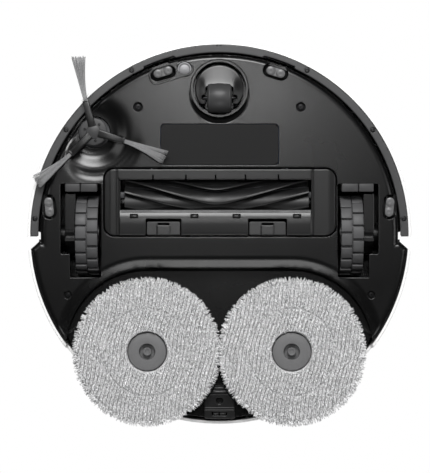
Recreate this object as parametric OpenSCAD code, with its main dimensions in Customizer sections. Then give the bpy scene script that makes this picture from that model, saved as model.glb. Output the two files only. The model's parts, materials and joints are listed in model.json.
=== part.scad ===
// Round floor-cleaning robot with one side brush, one main brush and two turning mops.
// Units are millimetres. +Z is up, the front is -Y, and the floor is Z = 0.
// "left" and "right" are the robot's own sides, so right is -X.

/* [Body] */
// Outer diameter of the round body
body_d = 350; // [348:1:352]
// Height of the top cover above the floor
body_h = 80; // [80:0.5:84]
// Height of the flat underside above the floor
underside_z = 10; // [10:0.25:10.5]
// Thickness of the moulded floor of the chassis
floor_t = 2.5; // [2:0.25:2.5]

/* [Bumper] */
// How far the bumper can be pushed in
bumper_travel = 2.5; // [1:0.5:2.5]
// Thickness of the white side walls
wall_t = 2.6; // [2:0.1:2.8]

/* [Drive wheels] */
// Diameter over the tyre lugs
wheel_d = 74; // [70:1:74]
// Distance from the middle of the body to the middle of each tyre
wheel_x = 120.65; // [120:0.1:121]
// Lugs in each of the two rows of a tyre
tyre_lugs = 18; // [12:1:20]

/* [Caster] */
// Diameter of the caster wheel
caster_d = 27; // [25:0.5:27]
// Distance of the caster axle behind its swivel axis
caster_trail = 8.5; // [7:0.5:8.5]

/* [Main brush] */
// Diameter over the rubber fins
brush_d = 34.4; // [32:0.2:34.4]
// Number of rubber fins
brush_fin_count = 6; // [4:1:7]

/* [Side brush] */
// Reach of the bristles from the hub's axis
side_brush_reach = 71; // [60:1:71]

/* [Mops] */
// Radius of a mop pad
mop_r = 65.3; // [60:0.1:65.3]
// Thickness of a mop pad
mop_t = 9.4; // [8:0.2:9.4]
// How far the mops can be lifted
mop_lift = 10; // [6:1:10]

/* [Laser turret] */
// Radius of the turret's base ring
turret_r = 47.5; // [46.5:0.5:50]
// Height of the turret's cap above the floor
turret_top = 99; // [97:0.5:102]

/* [Hidden] */
$fn = 96;
body_r = body_d / 2;
floor_top = underside_z + floor_t;
run = 0.05; // radial clearance of a shaft in its bore

// Side edge of the chassis: front_edge_r sits behind the bumper's rail
front_edge_r = body_r - 11.7;
rear_edge_r = body_r - 2.9;
edge_round = 5.5;
rail_inner_r = body_r - 10.2;
rail_outer_r = body_r - 2.9;
rail_z = underside_z + 0.4;
rail_t = 1.6;
bumper_end_y = 2.8;
notch_y = 7.5;
notch_slope = 0.897;
bumper_top = body_h - 3.2;
top_skirt_r = body_r - wall_t - bumper_travel - 0.4;
shell_low = underside_z + 2.4;
rail_screw_r = body_r - 6.5;
rail_screw_angles = [28.3, 56, 85.5];

// Main brush bay and roller
bay_x = [-105.5, 106.6];
bay_y = [-59.2, 2.8];
brush_y = -35;
brush_z = brush_d / 2 + 2.2;
brush_x = [-86, 81];
brush_core_r = 9;
window_x = [-90.5, 83.4];
window_y = [-48.7, -21.3];
guard_z = 6.5;
guard_t = 2;
guard_hinge = [0, -58.2, 8.9];
comb_notches = [-60.4, -30.4, -3.5, 23.8, 53.8];
clip_marks = [-77.7, -22.7, 15.6, 70.6];
latch_x = [[-66.3, -35.4], [26.9, 60.6]];
latch_y = [-10.8, 1.7];
latch_travel = 2;
fin_turn = -80;
fin_t = 2.4;
fin_middle = -3;
fin_root = 0.6;
fin_steps = 20;

// Drive wheel modules, given for the +X side and mirrored
wheel_r = wheel_d / 2;
wheel_y = 1.5;
tyre_w = 20.3;
tyre_in = wheel_x - tyre_w / 2;
tyre_out = wheel_x + tyre_w / 2;
hub_r = wheel_r - 5.5;
pivot_y = -41.7;
pivot_z = 34;
pivot_r = 2;
arm_x = [131.3, 140.5];
well_x = [108, 144.5];
well_y = [-45, 40.1];
well_step_x = 136;
well_step_y = 18.7;

// Caster, side brush and sensors
caster_y = -132;
caster_axle_y = caster_y + caster_trail;
caster_r = caster_d / 2;
caster_w = 22;
socket_r = 26;
socket_in_r = 24.3;
swivel_r = 21.4;
stem_r = 4;
side_hub = [-114.1, -92.3];
side_arm_angles = [-104.5, 17.3, 135.6];
side_arm_len = 29;
front_cliff = [51.3, -147];
side_cliff = [155.1, -24];
label_at = [0.3, -80.9];
label_size = [107.8, 37.3];
front_screw = [74.2, -115];
rear_screw = [138.2, 56];
roof_screw = [133.3, 99.8];

// Mops
mop_x = 65.6;
mop_y = 107.3;
recess_low_r = 84.6;
recess_high_r = 75;
ramp_z = underside_z + 4;
recess_top = underside_z + mop_lift + 6;
bay_wall = 2.2;
chassis_wall_z = underside_z + edge_round + 1.2;
mop_plate_r = 55;
mop_hub_r = 17.6;
spigot_r = 5;

// Turret, lid and keys
turret_y = 38;
turret_hole_r = 44.5;
post_ring_r = 40;
lid_x = 64;
lid_y = [-106, -18.6];
lid_hinge_z = body_h - 1.6;
key_x = 14;
key_y = -124;
key_r = 6.5;

// Every chassis screw: [x, y, pocket radius, pocket floor]
SCREWS = [
    [front_screw[0], front_screw[1], 4.3, underside_z],
    [rear_screw[0], rear_screw[1], 3.6, underside_z],
    [roof_screw[0], roof_screw[1], 3.5, recess_top]
];
screw_pocket = 3.2;
screw_boss_h = 10;

// ---------- shared shapes ----------

function arc_points(cx, cy, r, from, to, steps) =
    [for (i = [0 : steps]) let (a = from + (to - from) * i / steps) [cx + r * cos(a), cy + r * sin(a)]];

function span(middle, size) = [middle - size / 2, middle + size / 2];

// Rectangle between two corners with round corners
module round_box_2d(x, y, r) {
    translate([x[0], y[0] + r]) square([x[1] - x[0], y[1] - y[0] - 2 * r]);
    translate([x[0] + r, y[0]]) square([x[1] - x[0] - 2 * r, y[1] - y[0]]);
    for (cx = [x[0] + r, x[1] - r], cy = [y[0] + r, y[1] - r])
        translate([cx, cy]) circle(r, $fn = 48);
}

module round_box(x, y, z, r) {
    translate([0, 0, z[0]]) linear_extrude(z[1] - z[0]) round_box_2d(x, y, r);
}

module box(x, y, z) {
    translate([x[0], y[0], z[0]]) cube([x[1] - x[0], y[1] - y[0], z[1] - z[0]]);
}

module disc(at, r, z) {
    translate([at[0], at[1], z[0]]) cylinder(h = z[1] - z[0], r = r);
}

module ring(at, r_out, r_in, z) {
    difference() {
        disc(at, r_out, z);
        disc(at, r_in, [z[0] - 1, z[1] + 1]);
    }
}

// Cylinder along X from x[0] to x[1]
module shaft(x, y, z, r) {
    translate([x[0], y, z]) rotate([0, 90, 0]) cylinder(h = x[1] - x[0], r = r);
}

// Y-Z outline pushed along X
module profile_x(x, points) {
    translate([x[0], 0, 0]) rotate([90, 0, 90]) linear_extrude(x[1] - x[0]) polygon(points);
}

module both_sides() {
    children();
    mirror([1, 0, 0]) children();
}

module front_zone(y) {
    translate([-200, y - 400, -10]) cube([400, 400, 150]);
}

module rear_zone(y) {
    translate([-200, y, -10]) cube([400, 400, 150]);
}

// Open corner between the bumper's end and the rear side wall, cut through the full height
module side_notch(inset = 0) {
    both_sides()
        translate([0, 0, -5])
            linear_extrude(150)
                polygon([
                    [rail_inner_r - inset, bumper_end_y - 4], [200, bumper_end_y - 4],
                    [200, notch_y + (200 - rail_inner_r) * notch_slope],
                    [rail_inner_r - inset, notch_y]
                ]);
}

// Half section of the space that the mops turn in: a low ramp, then an upright wall
function mop_section(grow) = [
    [recess_low_r + grow, underside_z - 0.01], [recess_low_r + grow, underside_z + grow / 2],
    [recess_high_r + grow, ramp_z + grow / 2], [recess_high_r + grow, recess_top + grow]
];

// Two such rounds joined by a straight band
module mop_space(grow = 0) {
    half = mop_section(grow);
    for (side = [-1, 1])
        translate([side * mop_x, mop_y, 0])
            rotate_extrude()
                polygon(concat([[0, underside_z - 0.01]], half, [[0, recess_top + grow]]));
    profile_x([-mop_x, mop_x], concat(
        [for (p = half) [mop_y + p[0], p[1]]],
        [for (i = [3 : -1 : 0]) [mop_y - half[i][0], half[i][1]]]
    ));
}

// Cup with a rounded bottom edge
module cup(outer_r, height, wall) {
    centre = outer_r - edge_round;
    rotate_extrude()
        polygon(concat(
            [[0, underside_z]],
            arc_points(centre, underside_z + edge_round, edge_round, -90, 0, 6),
            [[outer_r, underside_z + height], [outer_r - wall, underside_z + height]],
            arc_points(centre, underside_z + edge_round, edge_round - wall, 0, -90, 6),
            [[0, underside_z + wall]]
        ));
}

module well_outline() {
    polygon([
        [well_x[0], well_y[0]], [well_x[1], well_y[0]], [well_x[1], well_step_y],
        [well_step_x, well_step_y], [well_step_x, well_y[1]], [well_x[0], well_y[1]]
    ]);
}

module at_cliff_sensors() {
    both_sides() {
        translate(front_cliff) rotate(17) children();
        translate(side_cliff) rotate(96) children();
    }
}

// Helix of round wire along X
module coil_x(x, y, z, r, wire_r, turns) {
    sides = 8;
    steps = turns * 14;
    function spot(i, j) =
        let (a = 360 * turns * i / steps, b = 360 * j / sides, q = r + wire_r * cos(b))
        [x[0] + (x[1] - x[0]) * i / steps + wire_r * sin(b), y + q * cos(a), z + q * sin(a)];
    points = [for (i = [0 : steps], j = [0 : sides - 1]) spot(i, j)];
    quads = [
        for (i = [0 : steps - 1], j = [0 : sides - 1])
            let (k = (j + 1) % sides)
            [i * sides + j, i * sides + k, (i + 1) * sides + k, (i + 1) * sides + j]
    ];
    start = [for (j = [sides - 1 : -1 : 0]) j];
    finish = [for (j = [0 : sides - 1]) steps * sides + j];
    polyhedron(points, concat(quads, [start, finish]), convexity = 8);
}

// ---------- body ----------

// Slanted wall behind each side notch
module notch_wall(z) {
    intersection() {
        both_sides()
            translate([0, 0, z[0]])
                linear_extrude(z[1] - z[0])
                    polygon([[front_edge_r - 2, notch_y - 2], [rail_inner_r, notch_y - 2],
                             [rail_inner_r, notch_y], [rear_edge_r, notch_y + 6.4],
                             [rear_edge_r - 3, notch_y + 6.4]]);
        disc([0, 0], rear_edge_r, z);
    }
}

module screw_boss(s) {
    disc([s[0], s[1]], s[2] + 2, [s[3] + 0.5, s[3] + screw_boss_h]);
}

module chassis_cuts() {
    both_sides() linear_extrude(40) well_outline();
    linear_extrude(40) round_box_2d(bay_x, bay_y, 8);
    disc([0, caster_y], socket_r + 0.2, [0, 40]);
    disc(side_hub, 15.5, [0, 20]);
    for (x = [-mop_x, mop_x]) disc([x, mop_y], 8, [20, 40]);
    // Label recess and sensor windows
    round_box(span(label_at[0], label_size[0]), span(label_at[1], label_size[1]),
              [underside_z - 1, underside_z + 0.8], 3.6);
    at_cliff_sensors() translate([0, 0, 5]) linear_extrude(20) round_box_2d([-10.2, 10.2], [-5, 5], 4.9);
    disc([-31.8, -149.4], 6.9, [5, 30]);
    both_sides()
        for (s = SCREWS) {
            disc([s[0], s[1]], s[2], [s[3] - 1, s[3] + screw_pocket]);
            disc([s[0], s[1]], 1.6, [s[3], s[3] + screw_boss_h + 1]);
        }
}

// Round dish under the side brush, with a shallower step behind it
module side_brush_dish() {
    intersection() {
        union() {
            translate([side_hub[0], side_hub[1], underside_z - 0.01])
                cylinder(h = 3.6, r1 = 32.5, r2 = 20);
            intersection() {
                translate([side_hub[0] + 2, side_hub[1] + 4, underside_z - 0.01])
                    cylinder(h = 1.4, r1 = 43, r2 = 36);
                rear_zone(side_hub[1]);
            }
        }
        disc([0, 0], front_edge_r - 5.7, [0, 20]);
    }
}

// Floor of the underside with its rounded outer edge
module bottom_chassis() {
    color("#2a2b2d")
        difference() {
            union() {
                intersection() {
                    cup(front_edge_r, edge_round + 1, floor_t);
                    front_zone(notch_y);
                }
                intersection() {
                    cup(rear_edge_r, edge_round + 1, floor_t);
                    rear_zone(notch_y);
                }
                notch_wall([underside_z + 1, underside_z + edge_round + 1]);
                intersection() {
                    disc(side_hub, 44, [underside_z, underside_z + edge_round + 1]);
                    disc([0, 0], front_edge_r - 1, [underside_z, 20]);
                }
                both_sides() for (s = [SCREWS[0], SCREWS[1]]) screw_boss(s);
            }
            mop_space(bay_wall + 0.2);
            chassis_cuts();
            side_brush_dish();
            side_notch();
        }
}

// Upright wall behind the bumper
module chassis_wall() {
    color("#26272a")
        difference() {
            union() {
                intersection() {
                    ring([0, 0], front_edge_r, front_edge_r - floor_t, [chassis_wall_z, body_h - 10]);
                    front_zone(notch_y);
                }
                notch_wall([chassis_wall_z, body_h - 20]);
            }
            side_notch();
        }
}

// Ramp and ceiling over the mops
module mop_bay() {
    color("#232426")
        difference() {
            intersection() {
                union() {
                    mop_space(bay_wall);
                    both_sides() screw_boss(SCREWS[2]);
                }
                disc([0, 0], rear_edge_r - floor_t - 0.2, [underside_z, 40]);
            }
            mop_space();
            both_sides() housing_block(1.8);
            chassis_cuts();
        }
}

// Room round one drive wheel, grown by the given wall
module housing_block(wall) {
    box([well_x[0] - wall, 152 + wall], [well_y[0] - 1.6 - wall, well_y[1] + wall],
        [floor_top + 1.2, body_h - 4.4 + wall]);
}

// Box over each drive wheel, open at the bottom
module wheel_housings() {
    color("#202123")
        both_sides()
            difference() {
                housing_block(1.2);
                housing_block(0);
                translate([0, 0, -2]) housing_block(0);
            }
}

module rear_tongue() {
    color("#222325")
        difference() {
            intersection() {
                box([-14, 14], [138, 175], [underside_z, recess_top - 0.05]);
                disc([0, 0], rear_edge_r - 2.6, [0, 40]);
            }
            for (x = [-mop_x, mop_x]) disc([x, mop_y], mop_r + 1.2, [0, 40]);
            disc([0, 152.5], 3, [0, underside_z + 8]);
            round_box([-7, 7], [162.5, 167], [0, underside_z + 4], 1.5);
        }
}

module top_shell() {
    color("#f2f2f0")
        difference() {
            union() {
                disc([0, 0], body_r - 2.2, [body_h - 2.5, body_h]);
                intersection() {
                    ring([0, 0], top_skirt_r, top_skirt_r - 2, [66, body_h - 1]);
                    front_zone(notch_y);
                }
                // Hinge bosses of the lid
                for (x = [-1, 1])
                    box(x > 0 ? [lid_x + 0.6, lid_x + 4] : [-lid_x - 4, -lid_x - 0.6],
                        [lid_y[1] - 2.5, lid_y[1] + 2.5], [body_h - 4.5, body_h - 2]);
            }
            round_box([-lid_x - 0.6, lid_x + 0.6], [lid_y[0] - 0.6, lid_y[1] + 2], [60, body_h + 1], 10);
            box([-lid_x - 0.6, lid_x + 0.6], [lid_y[1] - 15, lid_y[1] + 2], [60, body_h + 1]);
            shaft([-lid_x - 3.2, lid_x + 3.2], lid_y[1], lid_hinge_z, 0.85);
            disc([0, turret_y], turret_hole_r, [60, body_h + 1]);
            for (x = [-key_x, key_x]) disc([x, key_y], key_r + 0.3, [60, body_h + 1]);
            side_notch();
        }
}

module rear_shell() {
    color("#f4f4f2")
        difference() {
            intersection() {
                ring([0, 0], body_r, body_r - wall_t, [shell_low, body_h - 2.7]);
                rear_zone(notch_y);
            }
            mop_space(0.2);
            side_notch();
            for (x = [-22, 22]) box([x - 5.2, x + 5.2], [170, 180], [33.8, 42.2]);
        }
}

module charge_contacts() {
    color("#c9b27a")
        for (x = [-22, 22])
            intersection() {
                ring([0, 0], body_r - 0.2, body_r - 1.6, [34, 42]);
                box([x - 5, x + 5], [160, 180], [30, 50]);
            }
}

module label_plate() {
    color("#242527")
        round_box(span(label_at[0], label_size[0] - 0.6), span(label_at[1], label_size[1] - 0.6),
                  [underside_z + 0.3, underside_z + 0.8], 3.3);
}

module battery_pack() {
    color("#3c5f8a") round_box([-68, 68], [-103, -63.5], [14, 50], 6);
}

module main_board() {
    color("#1f6b3a") {
        box([-98, 98], [6, 36], [54, 55.6]);
        for (x = [-70, -20, 30]) box([x, x + 18], [12, 30], [55.6, 58.2]);
    }
}

module suction_fan() {
    color("#3a3b3e")
        difference() {
            union() {
                disc([99, -84], 25, [14, 50]);
                disc([99, -84], 14, [50, 60]);
            }
            disc([99, -84], 8, [40, 61]);
        }
}

module dust_bin() {
    color("#55585c")
        difference() {
            round_box([-58, 58], [-98, -24], [51.5, 75.5], 6);
            round_box([-56.2, 56.2], [-96.2, -25.8], [53.3, 80], 4.5);
            box([-26, 26], [-39, -29], [50, 60]);
        }
}

module bin_filter() {
    color("#e8e6dc") box([46, 54], [-88, -36], [53.5, 73]);
}

module water_tank() {
    color("#8d9399")
        intersection() {
            disc([0, 0], 160, [54, 76]);
            rear_zone(94);
        }
}

module side_brush_motor() {
    color("#3f4145")
        difference() {
            union() {
                disc(side_hub, 14, [17, 34]);
                disc([side_hub[0] + 14, side_hub[1] + 14], 9, [17, 52]);
            }
            disc(side_hub, 3 + run, [16, 27]);
        }
}

module main_brush_motor() {
    color("#3f4145") {
        box([100.2, 104.5], [-44, 30], [14, 44]);
        shaft([62, 100.2], 18, 30, 11);
    }
}

module brush_housing() {
    color("#303134")
        difference() {
            union() {
                intersection() {
                    shaft([-92, 88], brush_y, brush_z, 21);
                    box([-92, 88], [-70, 0], [13.2, 60]);
                }
                box([-92, 88], [brush_y - 21, brush_y + 21], [13.2, brush_z]);
                box([-24, 24], [-40, -27], [brush_z + 12, 51.3]);
            }
            shaft([-90.2, 86.2], brush_y, brush_z, 19.2);
            box([-90.2, 86.2], [brush_y - 19.2, brush_y + 19.2], [0, brush_z]);
            box([-22, 22], [-38, -29], [brush_z, 60]);
            shaft([-100, 100], brush_y, brush_z, stem_r + 1);
        }
}

module wheel_brackets() {
    color("#35373a")
        both_sides()
            difference() {
                union() {
                    box([110.5, 125.2], [-44.2, -39.2], [underside_z - 0.5, 22]);
                    box([125.8, 140.5], [-44.2, -39.2], [underside_z - 0.5, 22]);
                    for (x = [110.5, 124.2]) {
                        box([x, x + 2], [-44.2, -39.2], [21, pivot_z]);
                        shaft([x, x + 2], pivot_y, pivot_z, 3.9);
                    }
                }
                shaft([100, 150], pivot_y, pivot_z, pivot_r + 0.01);
            }
}

module pivot_pins() {
    color("#b8babd") both_sides() shaft([110.6, 142], pivot_y, pivot_z, pivot_r);
}

module wheel_springs() {
    color("#9ea0a3")
        both_sides() coil_x([113.6, 123], pivot_y, pivot_z, 3.6, 0.6, 6);
}

module caster_socket() {
    color("#26272a")
        difference() {
            disc([0, caster_y], socket_r, [underside_z + 0.5, 38]);
            disc([0, caster_y], socket_in_r, [0, 36]);
            disc([0, caster_y], stem_r + run, [30, 40]);
        }
}

module cliff_windows() {
    color("#141416")
        at_cliff_sensors()
            translate([0, 0, underside_z + 0.9])
                linear_extrude(2.4)
                    round_box_2d([-10, 10], [-4.8, 4.8], 4.7);
}

module cliff_lenses() {
    color("#c9ccd2")
        at_cliff_sensors()
            for (x = [-4.6, 4.6])
                translate([x, 0, underside_z + 0.1]) cylinder(h = 0.8, r = 2.8);
}

module carpet_sensor() {
    color("#b4b6b9")
        difference() {
            disc([-31.8, -149.4], 6.6, [underside_z - 0.3, 20]);
            disc([-31.8, -149.4], 4.6, [0, underside_z + 0.4]);
        }
}

module chassis_screws() {
    color("#8b8d90")
        both_sides()
            for (s = SCREWS) {
                disc([s[0], s[1]], s[2] - 0.7, [s[3] + 1.2, s[3] + screw_pocket]);
                disc([s[0], s[1]], 1.5, [s[3] + screw_pocket, s[3] + screw_boss_h - 0.5]);
            }
}

module lidar_cage() {
    color("#e9e9e7")
        difference() {
            union() {
                disc([0, turret_y], turret_r, [body_h + 0.1, body_h + 4]);
                disc([0, turret_y], turret_hole_r - 0.4, [68, body_h + 1]);
            }
            disc([0, turret_y], 37, [70.5, turret_top]);
            disc([0, turret_y], 5 + run, [60, 80]);
        }
}

module lidar_posts() {
    color("#e4e4e2")
        for (a = [30 : 60 : 330])
            disc([post_ring_r * cos(a), turret_y + post_ring_r * sin(a)], 2.2,
                 [body_h + 4, turret_top - 5]);
}

module lidar_cap() {
    color("#ececea") {
        disc([0, turret_y], turret_r - 1.5, [turret_top - 5, turret_top - 1.5]);
        translate([0, turret_y, turret_top - 1.5])
            cylinder(h = 1.5, r1 = turret_r - 1.5, r2 = turret_r - 4);
    }
}

// ---------- bumper ----------

module at_rail_screws() {
    both_sides()
        for (a = rail_screw_angles)
            rotate([0, 0, a]) translate([0, -rail_screw_r, 0]) children();
}

module bumper_shell() {
    color("#f4f4f2")
        difference() {
            union() {
                intersection() {
                    ring([0, 0], body_r, body_r - wall_t, [shell_low, bumper_top]);
                    front_zone(bumper_end_y);
                }
                at_rail_screws() {
                    translate([0, 0, shell_low]) cylinder(h = 10, r = 2.4);
                    translate([-0.8, -4.6, shell_low]) cube([1.6, 4, 10]);
                }
            }
            at_rail_screws() translate([0, 0, shell_low - 1]) cylinder(h = 9, r = 1.15);
            intersection() {
                ring([0, 0], body_r + 1, body_r - 1.2, [38, 60]);
                window_sector(24);
            }
        }
}

module window_sector(half_angle) {
    linear_extrude(100)
        polygon([[0, 0], [-220 * sin(half_angle), -220 * cos(half_angle)],
                 [220 * sin(half_angle), -220 * cos(half_angle)]]);
}

module bumper_rail() {
    color("#4a4b4e")
        difference() {
            intersection() {
                ring([0, 0], rail_outer_r, rail_inner_r, [rail_z, rail_z + rail_t]);
                front_zone(bumper_end_y);
            }
            at_rail_screws() {
                translate([0, 0, rail_z - 1]) cylinder(h = 1.8, r = 2.6);
                translate([0, 0, rail_z - 1]) cylinder(h = 5, r = 1.3);
            }
        }
}

module bumper_screws() {
    color("#6c6e72")
        at_rail_screws() {
            translate([0, 0, rail_z + 0.1]) cylinder(h = 0.7, r = 2.3);
            translate([0, 0, rail_z + 0.8]) cylinder(h = 8.5, r = 1.1);
        }
}

module bumper_window() {
    color("#101114")
        intersection() {
            ring([0, 0], body_r - 0.1, body_r - 1.1, [38.3, 59.7]);
            window_sector(23.8);
        }
}

// ---------- drive wheels ----------

module wheel_arm() {
    color("#333538")
        difference() {
            union() {
                profile_x(arm_x, concat(
                    [[-34.2, 25], [-24.5, underside_z - 0.2], [6.9, underside_z - 0.2], [12, 20]],
                    arc_points(wheel_y, wheel_r, 18, -45, 90, 6),
                    [[-20, 52], [pivot_y + 2, pivot_z + 5]]
                ));
                shaft([127.2, arm_x[1]], pivot_y, pivot_z, 4.6);
                shaft([arm_x[1], 150.5], wheel_y, wheel_r + 10, 10);
                shaft([113, arm_x[0]], wheel_y, wheel_r, 3);
            }
            shaft([100, 150], pivot_y, pivot_z, pivot_r + run);
        }
}

module wheel_hub() {
    color("#3a3c40")
        difference() {
            union() {
                shaft([tyre_in + 0.6, tyre_out - 0.6], wheel_y, wheel_r, hub_r);
                shaft([tyre_in + 0.2, tyre_in + 0.6], wheel_y, wheel_r, 12);
            }
            shaft([tyre_in + 2.4, tyre_out + 1], wheel_y, wheel_r, 3 + run);
            difference() {
                shaft([tyre_in - 1, tyre_in + 5], wheel_y, wheel_r, hub_r - 3);
                shaft([tyre_in - 1, tyre_in + 5], wheel_y, wheel_r, 14);
            }
        }
}

module tyre() {
    lug_w = 5.6;
    color("#4c4d50")
        translate([0, wheel_y, wheel_r])
            rotate([0, 90, 0])
                difference() {
                    union() {
                        translate([0, 0, tyre_in]) cylinder(h = tyre_w, r = wheel_r - 3);
                        for (row = [0, 1], i = [0 : tyre_lugs - 1])
                            rotate([0, 0, (i + row / 2) * 360 / tyre_lugs])
                                translate([wheel_r - 4, -lug_w / 2, tyre_in + row * 10.4])
                                    cube([4 - 0.35, lug_w, 9.9]);
                        translate([0, 0, tyre_in + 4]) cylinder(h = tyre_w - 8, r = wheel_r - 2.2);
                        for (i = [0 : 2 * tyre_lugs - 1])
                            rotate([0, 0, (i + 0.5) * 180 / tyre_lugs + 2])
                                translate([wheel_r - 4, -0.8, tyre_in + 5]) cube([4 - 0.1, 1.6, 10]);
                    }
                    translate([0, 0, tyre_in - 1]) cylinder(h = tyre_w + 2, r = hub_r + 0.02);
                }
}

module right_wheel_arm() { mirror([1, 0, 0]) wheel_arm(); }
module left_wheel_arm() { wheel_arm(); }
module right_wheel_hub() { mirror([1, 0, 0]) wheel_hub(); }
module left_wheel_hub() { wheel_hub(); }
module right_tyre() { mirror([1, 0, 0]) tyre(); }
module left_tyre() { tyre(); }

// ---------- caster ----------

module caster_swivel() {
    color("#2f3033")
        difference() {
            union() {
                intersection() {
                    disc([0, caster_y], swivel_r, [7.5, 35.9]);
                    translate([0, caster_y, 45]) sphere(r = 38.5);
                }
                disc([0, caster_y], stem_r, [30, 44]);
            }
            box([-12, 12], [caster_axle_y - 14.3, caster_y + 30], [0, 29]);
            shaft([-30, 30], caster_axle_y, caster_r, 1.52);
        }
}

module caster_wheel() {
    rim = 3;
    color("#56585c")
        translate([0, caster_axle_y, caster_r])
            rotate([0, 90, 0])
                rotate_extrude()
                    polygon(concat(
                        [[1.56, -caster_w / 2]],
                        arc_points(caster_r - rim, -caster_w / 2 + rim, rim, -90, 0, 5),
                        arc_points(caster_r - rim, caster_w / 2 - rim, rim, 0, 90, 5),
                        [[1.56, caster_w / 2]]
                    ));
}

module caster_axle() {
    color("#b8babd") shaft([-14.5, 14.5], caster_axle_y, caster_r, 1.5);
}

// ---------- brushes ----------

module side_brush_hub() {
    color("#3b3c3f")
        translate([side_hub[0], side_hub[1], 0]) {
            translate([0, 0, 8]) cylinder(h = 14, r = 3);
            translate([0, 0, 3.7]) cylinder(h = 5.3, r = 12.6);
            translate([0, 0, 2.6]) cylinder(h = 2, r = 6);
            for (a = side_arm_angles)
                rotate([0, 0, a])
                    translate([0, 0, 3.2])
                        linear_extrude(2.6)
                            polygon([[7, -3.4], [side_arm_len, -2.75], [side_arm_len, 2.75], [7, 3.4]]);
        }
}

// Each tuft slopes down to the floor and widens towards its tip
module side_brush_bristles() {
    tuft_start = side_arm_len + 0.1;
    color("#707275")
        for (a = side_arm_angles)
            translate([side_hub[0], side_hub[1], 0])
                rotate([0, 0, a])
                    polyhedron(
                        [[tuft_start, -1.7, 3.4], [tuft_start, 1.7, 3.4],
                         [tuft_start, 1.7, 5], [tuft_start, -1.7, 5],
                         [side_brush_reach, -6.3, 0.3], [side_brush_reach, 6.3, 0.3],
                         [side_brush_reach, 6.3, 1], [side_brush_reach, -6.3, 1]],
                        [[0, 1, 2, 3], [7, 6, 5, 4], [0, 4, 5, 1], [1, 5, 6, 2], [2, 6, 7, 3], [3, 7, 4, 0]]
                    );
}

module brush_core() {
    color("#2f3033") {
        shaft(brush_x, brush_y, brush_z, brush_core_r);
        shaft([-99, 98], brush_y, brush_z, stem_r);
    }
}

// Each fin is seated in the core, twists one way up to the middle and the other way after it
function fin_angle(x) =
    fin_turn * (x < fin_middle
        ? (fin_middle - x) / (fin_middle - brush_x[0])
        : (x - fin_middle) / (brush_x[1] - fin_middle));
function fin_corner(x, a, r, t) =
    [x, brush_y + r * cos(a) - t * sin(a), brush_z + r * sin(a) + t * cos(a)];

module fin(start) {
    r = [brush_core_r - fin_root, brush_d / 2 - 0.05];
    points = [
        for (i = [0 : fin_steps])
            let (x = brush_x[0] + (brush_x[1] - brush_x[0]) * i / fin_steps, a = start + fin_angle(x))
            each [fin_corner(x, a, r[0], -fin_t / 2), fin_corner(x, a, r[1], -fin_t / 2),
                  fin_corner(x, a, r[1], fin_t / 2), fin_corner(x, a, r[0], fin_t / 2)]
    ];
    sides = [
        for (i = [0 : fin_steps - 1], j = [0 : 3])
            let (p = 4 * i + j, q = 4 * i + (j + 1) % 4)
            each [[p, p + 4, q + 4], [p, q + 4, q]]
    ];
    last = 4 * fin_steps;
    polyhedron(points, concat(sides, [[0, 1, 2], [0, 2, 3]],
                              [[last + 2, last + 1, last], [last + 3, last + 2, last]]), convexity = 6);
}

module brush_fins() {
    color("#3d3e41")
        for (i = [0 : brush_fin_count - 1]) fin(i * 360 / brush_fin_count);
}

module brush_bearings() {
    color("#5a5c60")
        difference() {
            for (x = [[-103.5, -93], [89, 99]])
                box(x, [brush_y - 8, brush_y + 8], [13.4, brush_z + 8]);
            shaft([-110, 110], brush_y, brush_z, stem_r + run);
        }
}

module brush_guard() {
    color("#37393c")
        difference() {
            union() {
                round_box(bay_x + [0.4, -0.4], bay_y + [0.4, -0.4], [guard_z, guard_z + guard_t], 8);
                // Raised end caps outside the roller's window
                round_box([bay_x[0] + 0.4, window_x[0] - 0.5], bay_y + [4, -8], [guard_z, 12.8], 3);
                round_box([window_x[1] + 4, bay_x[1] - 0.4], bay_y + [4, -8], [guard_z, 12.8], 3);
                both_sides() shaft([58, 70], guard_hinge[1], guard_hinge[2], 0.9);
            }
            round_box(window_x, window_y, [0, 20], 2);
            for (x = comb_notches) round_box([x - 1.6, x + 1.6], [-55, -45], [0, 20], 1.5);
            for (x = latch_x)
                box([x[0] - 0.3, x[1] + 0.3], [latch_y[0] - latch_travel - 0.3, latch_y[1] + 0.3], [0, 20]);
            for (x = clip_marks) round_box([x - 3.6, x + 3.6], [-17.6, -13.6], [0, guard_z + 0.8], 0.6);
        }
}

module latch(x) {
    middle = (x[0] + x[1]) / 2;
    color("#303235")
        difference() {
            union() {
                box(x, latch_y, [guard_z, guard_z + guard_t]);
                box([middle - 5, middle + 5], [latch_y[0] + 1, latch_y[1] - 2], [guard_z, guard_z + 5]);
            }
            round_box([middle - 5.5, middle + 5.5], [-9.5, -7.6], [0, guard_z + 1.2], 0.8);
        }
}

module right_latch() { latch(latch_x[0]); }
module left_latch() { latch(latch_x[1]); }

// ---------- mops ----------

module mop_carriage() {
    color("#45474b")
        difference() {
            union() {
                box([-92, 92], [96, 119], [30, 34]);
                box([-20, 20], [74, 96], [30, 34]);
                for (x = [-mop_x, mop_x]) disc([x, mop_y], 20, [30, 41]);
            }
            for (x = [-mop_x, mop_x]) disc([x, mop_y], spigot_r + run, [20, 50]);
        }
}

module mop_motor() {
    color("#8f9296")
        translate([0, 74.5, 43.2]) rotate([-90, 0, 0]) cylinder(h = 18.5, r = 9);
}

module mop_plate(x) {
    color("#6f7174")
        translate([x, mop_y, 0])
            difference() {
                union() {
                    translate([0, 0, mop_t + 0.3]) cylinder(h = 3, r = mop_plate_r);
                    translate([0, 0, mop_t + 0.3]) cylinder(h = 5.2, r = 12);
                    translate([0, 0, mop_t + 0.3]) cylinder(h = 28, r = spigot_r);
                    translate([0, 0, 4]) cylinder(h = mop_t - 3, r = mop_hub_r);
                }
                translate([0, 0, 3])
                    difference() {
                        cylinder(h = 2.4, r = 7);
                        cylinder(h = 3, r = 3.8);
                    }
            }
}

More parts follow.
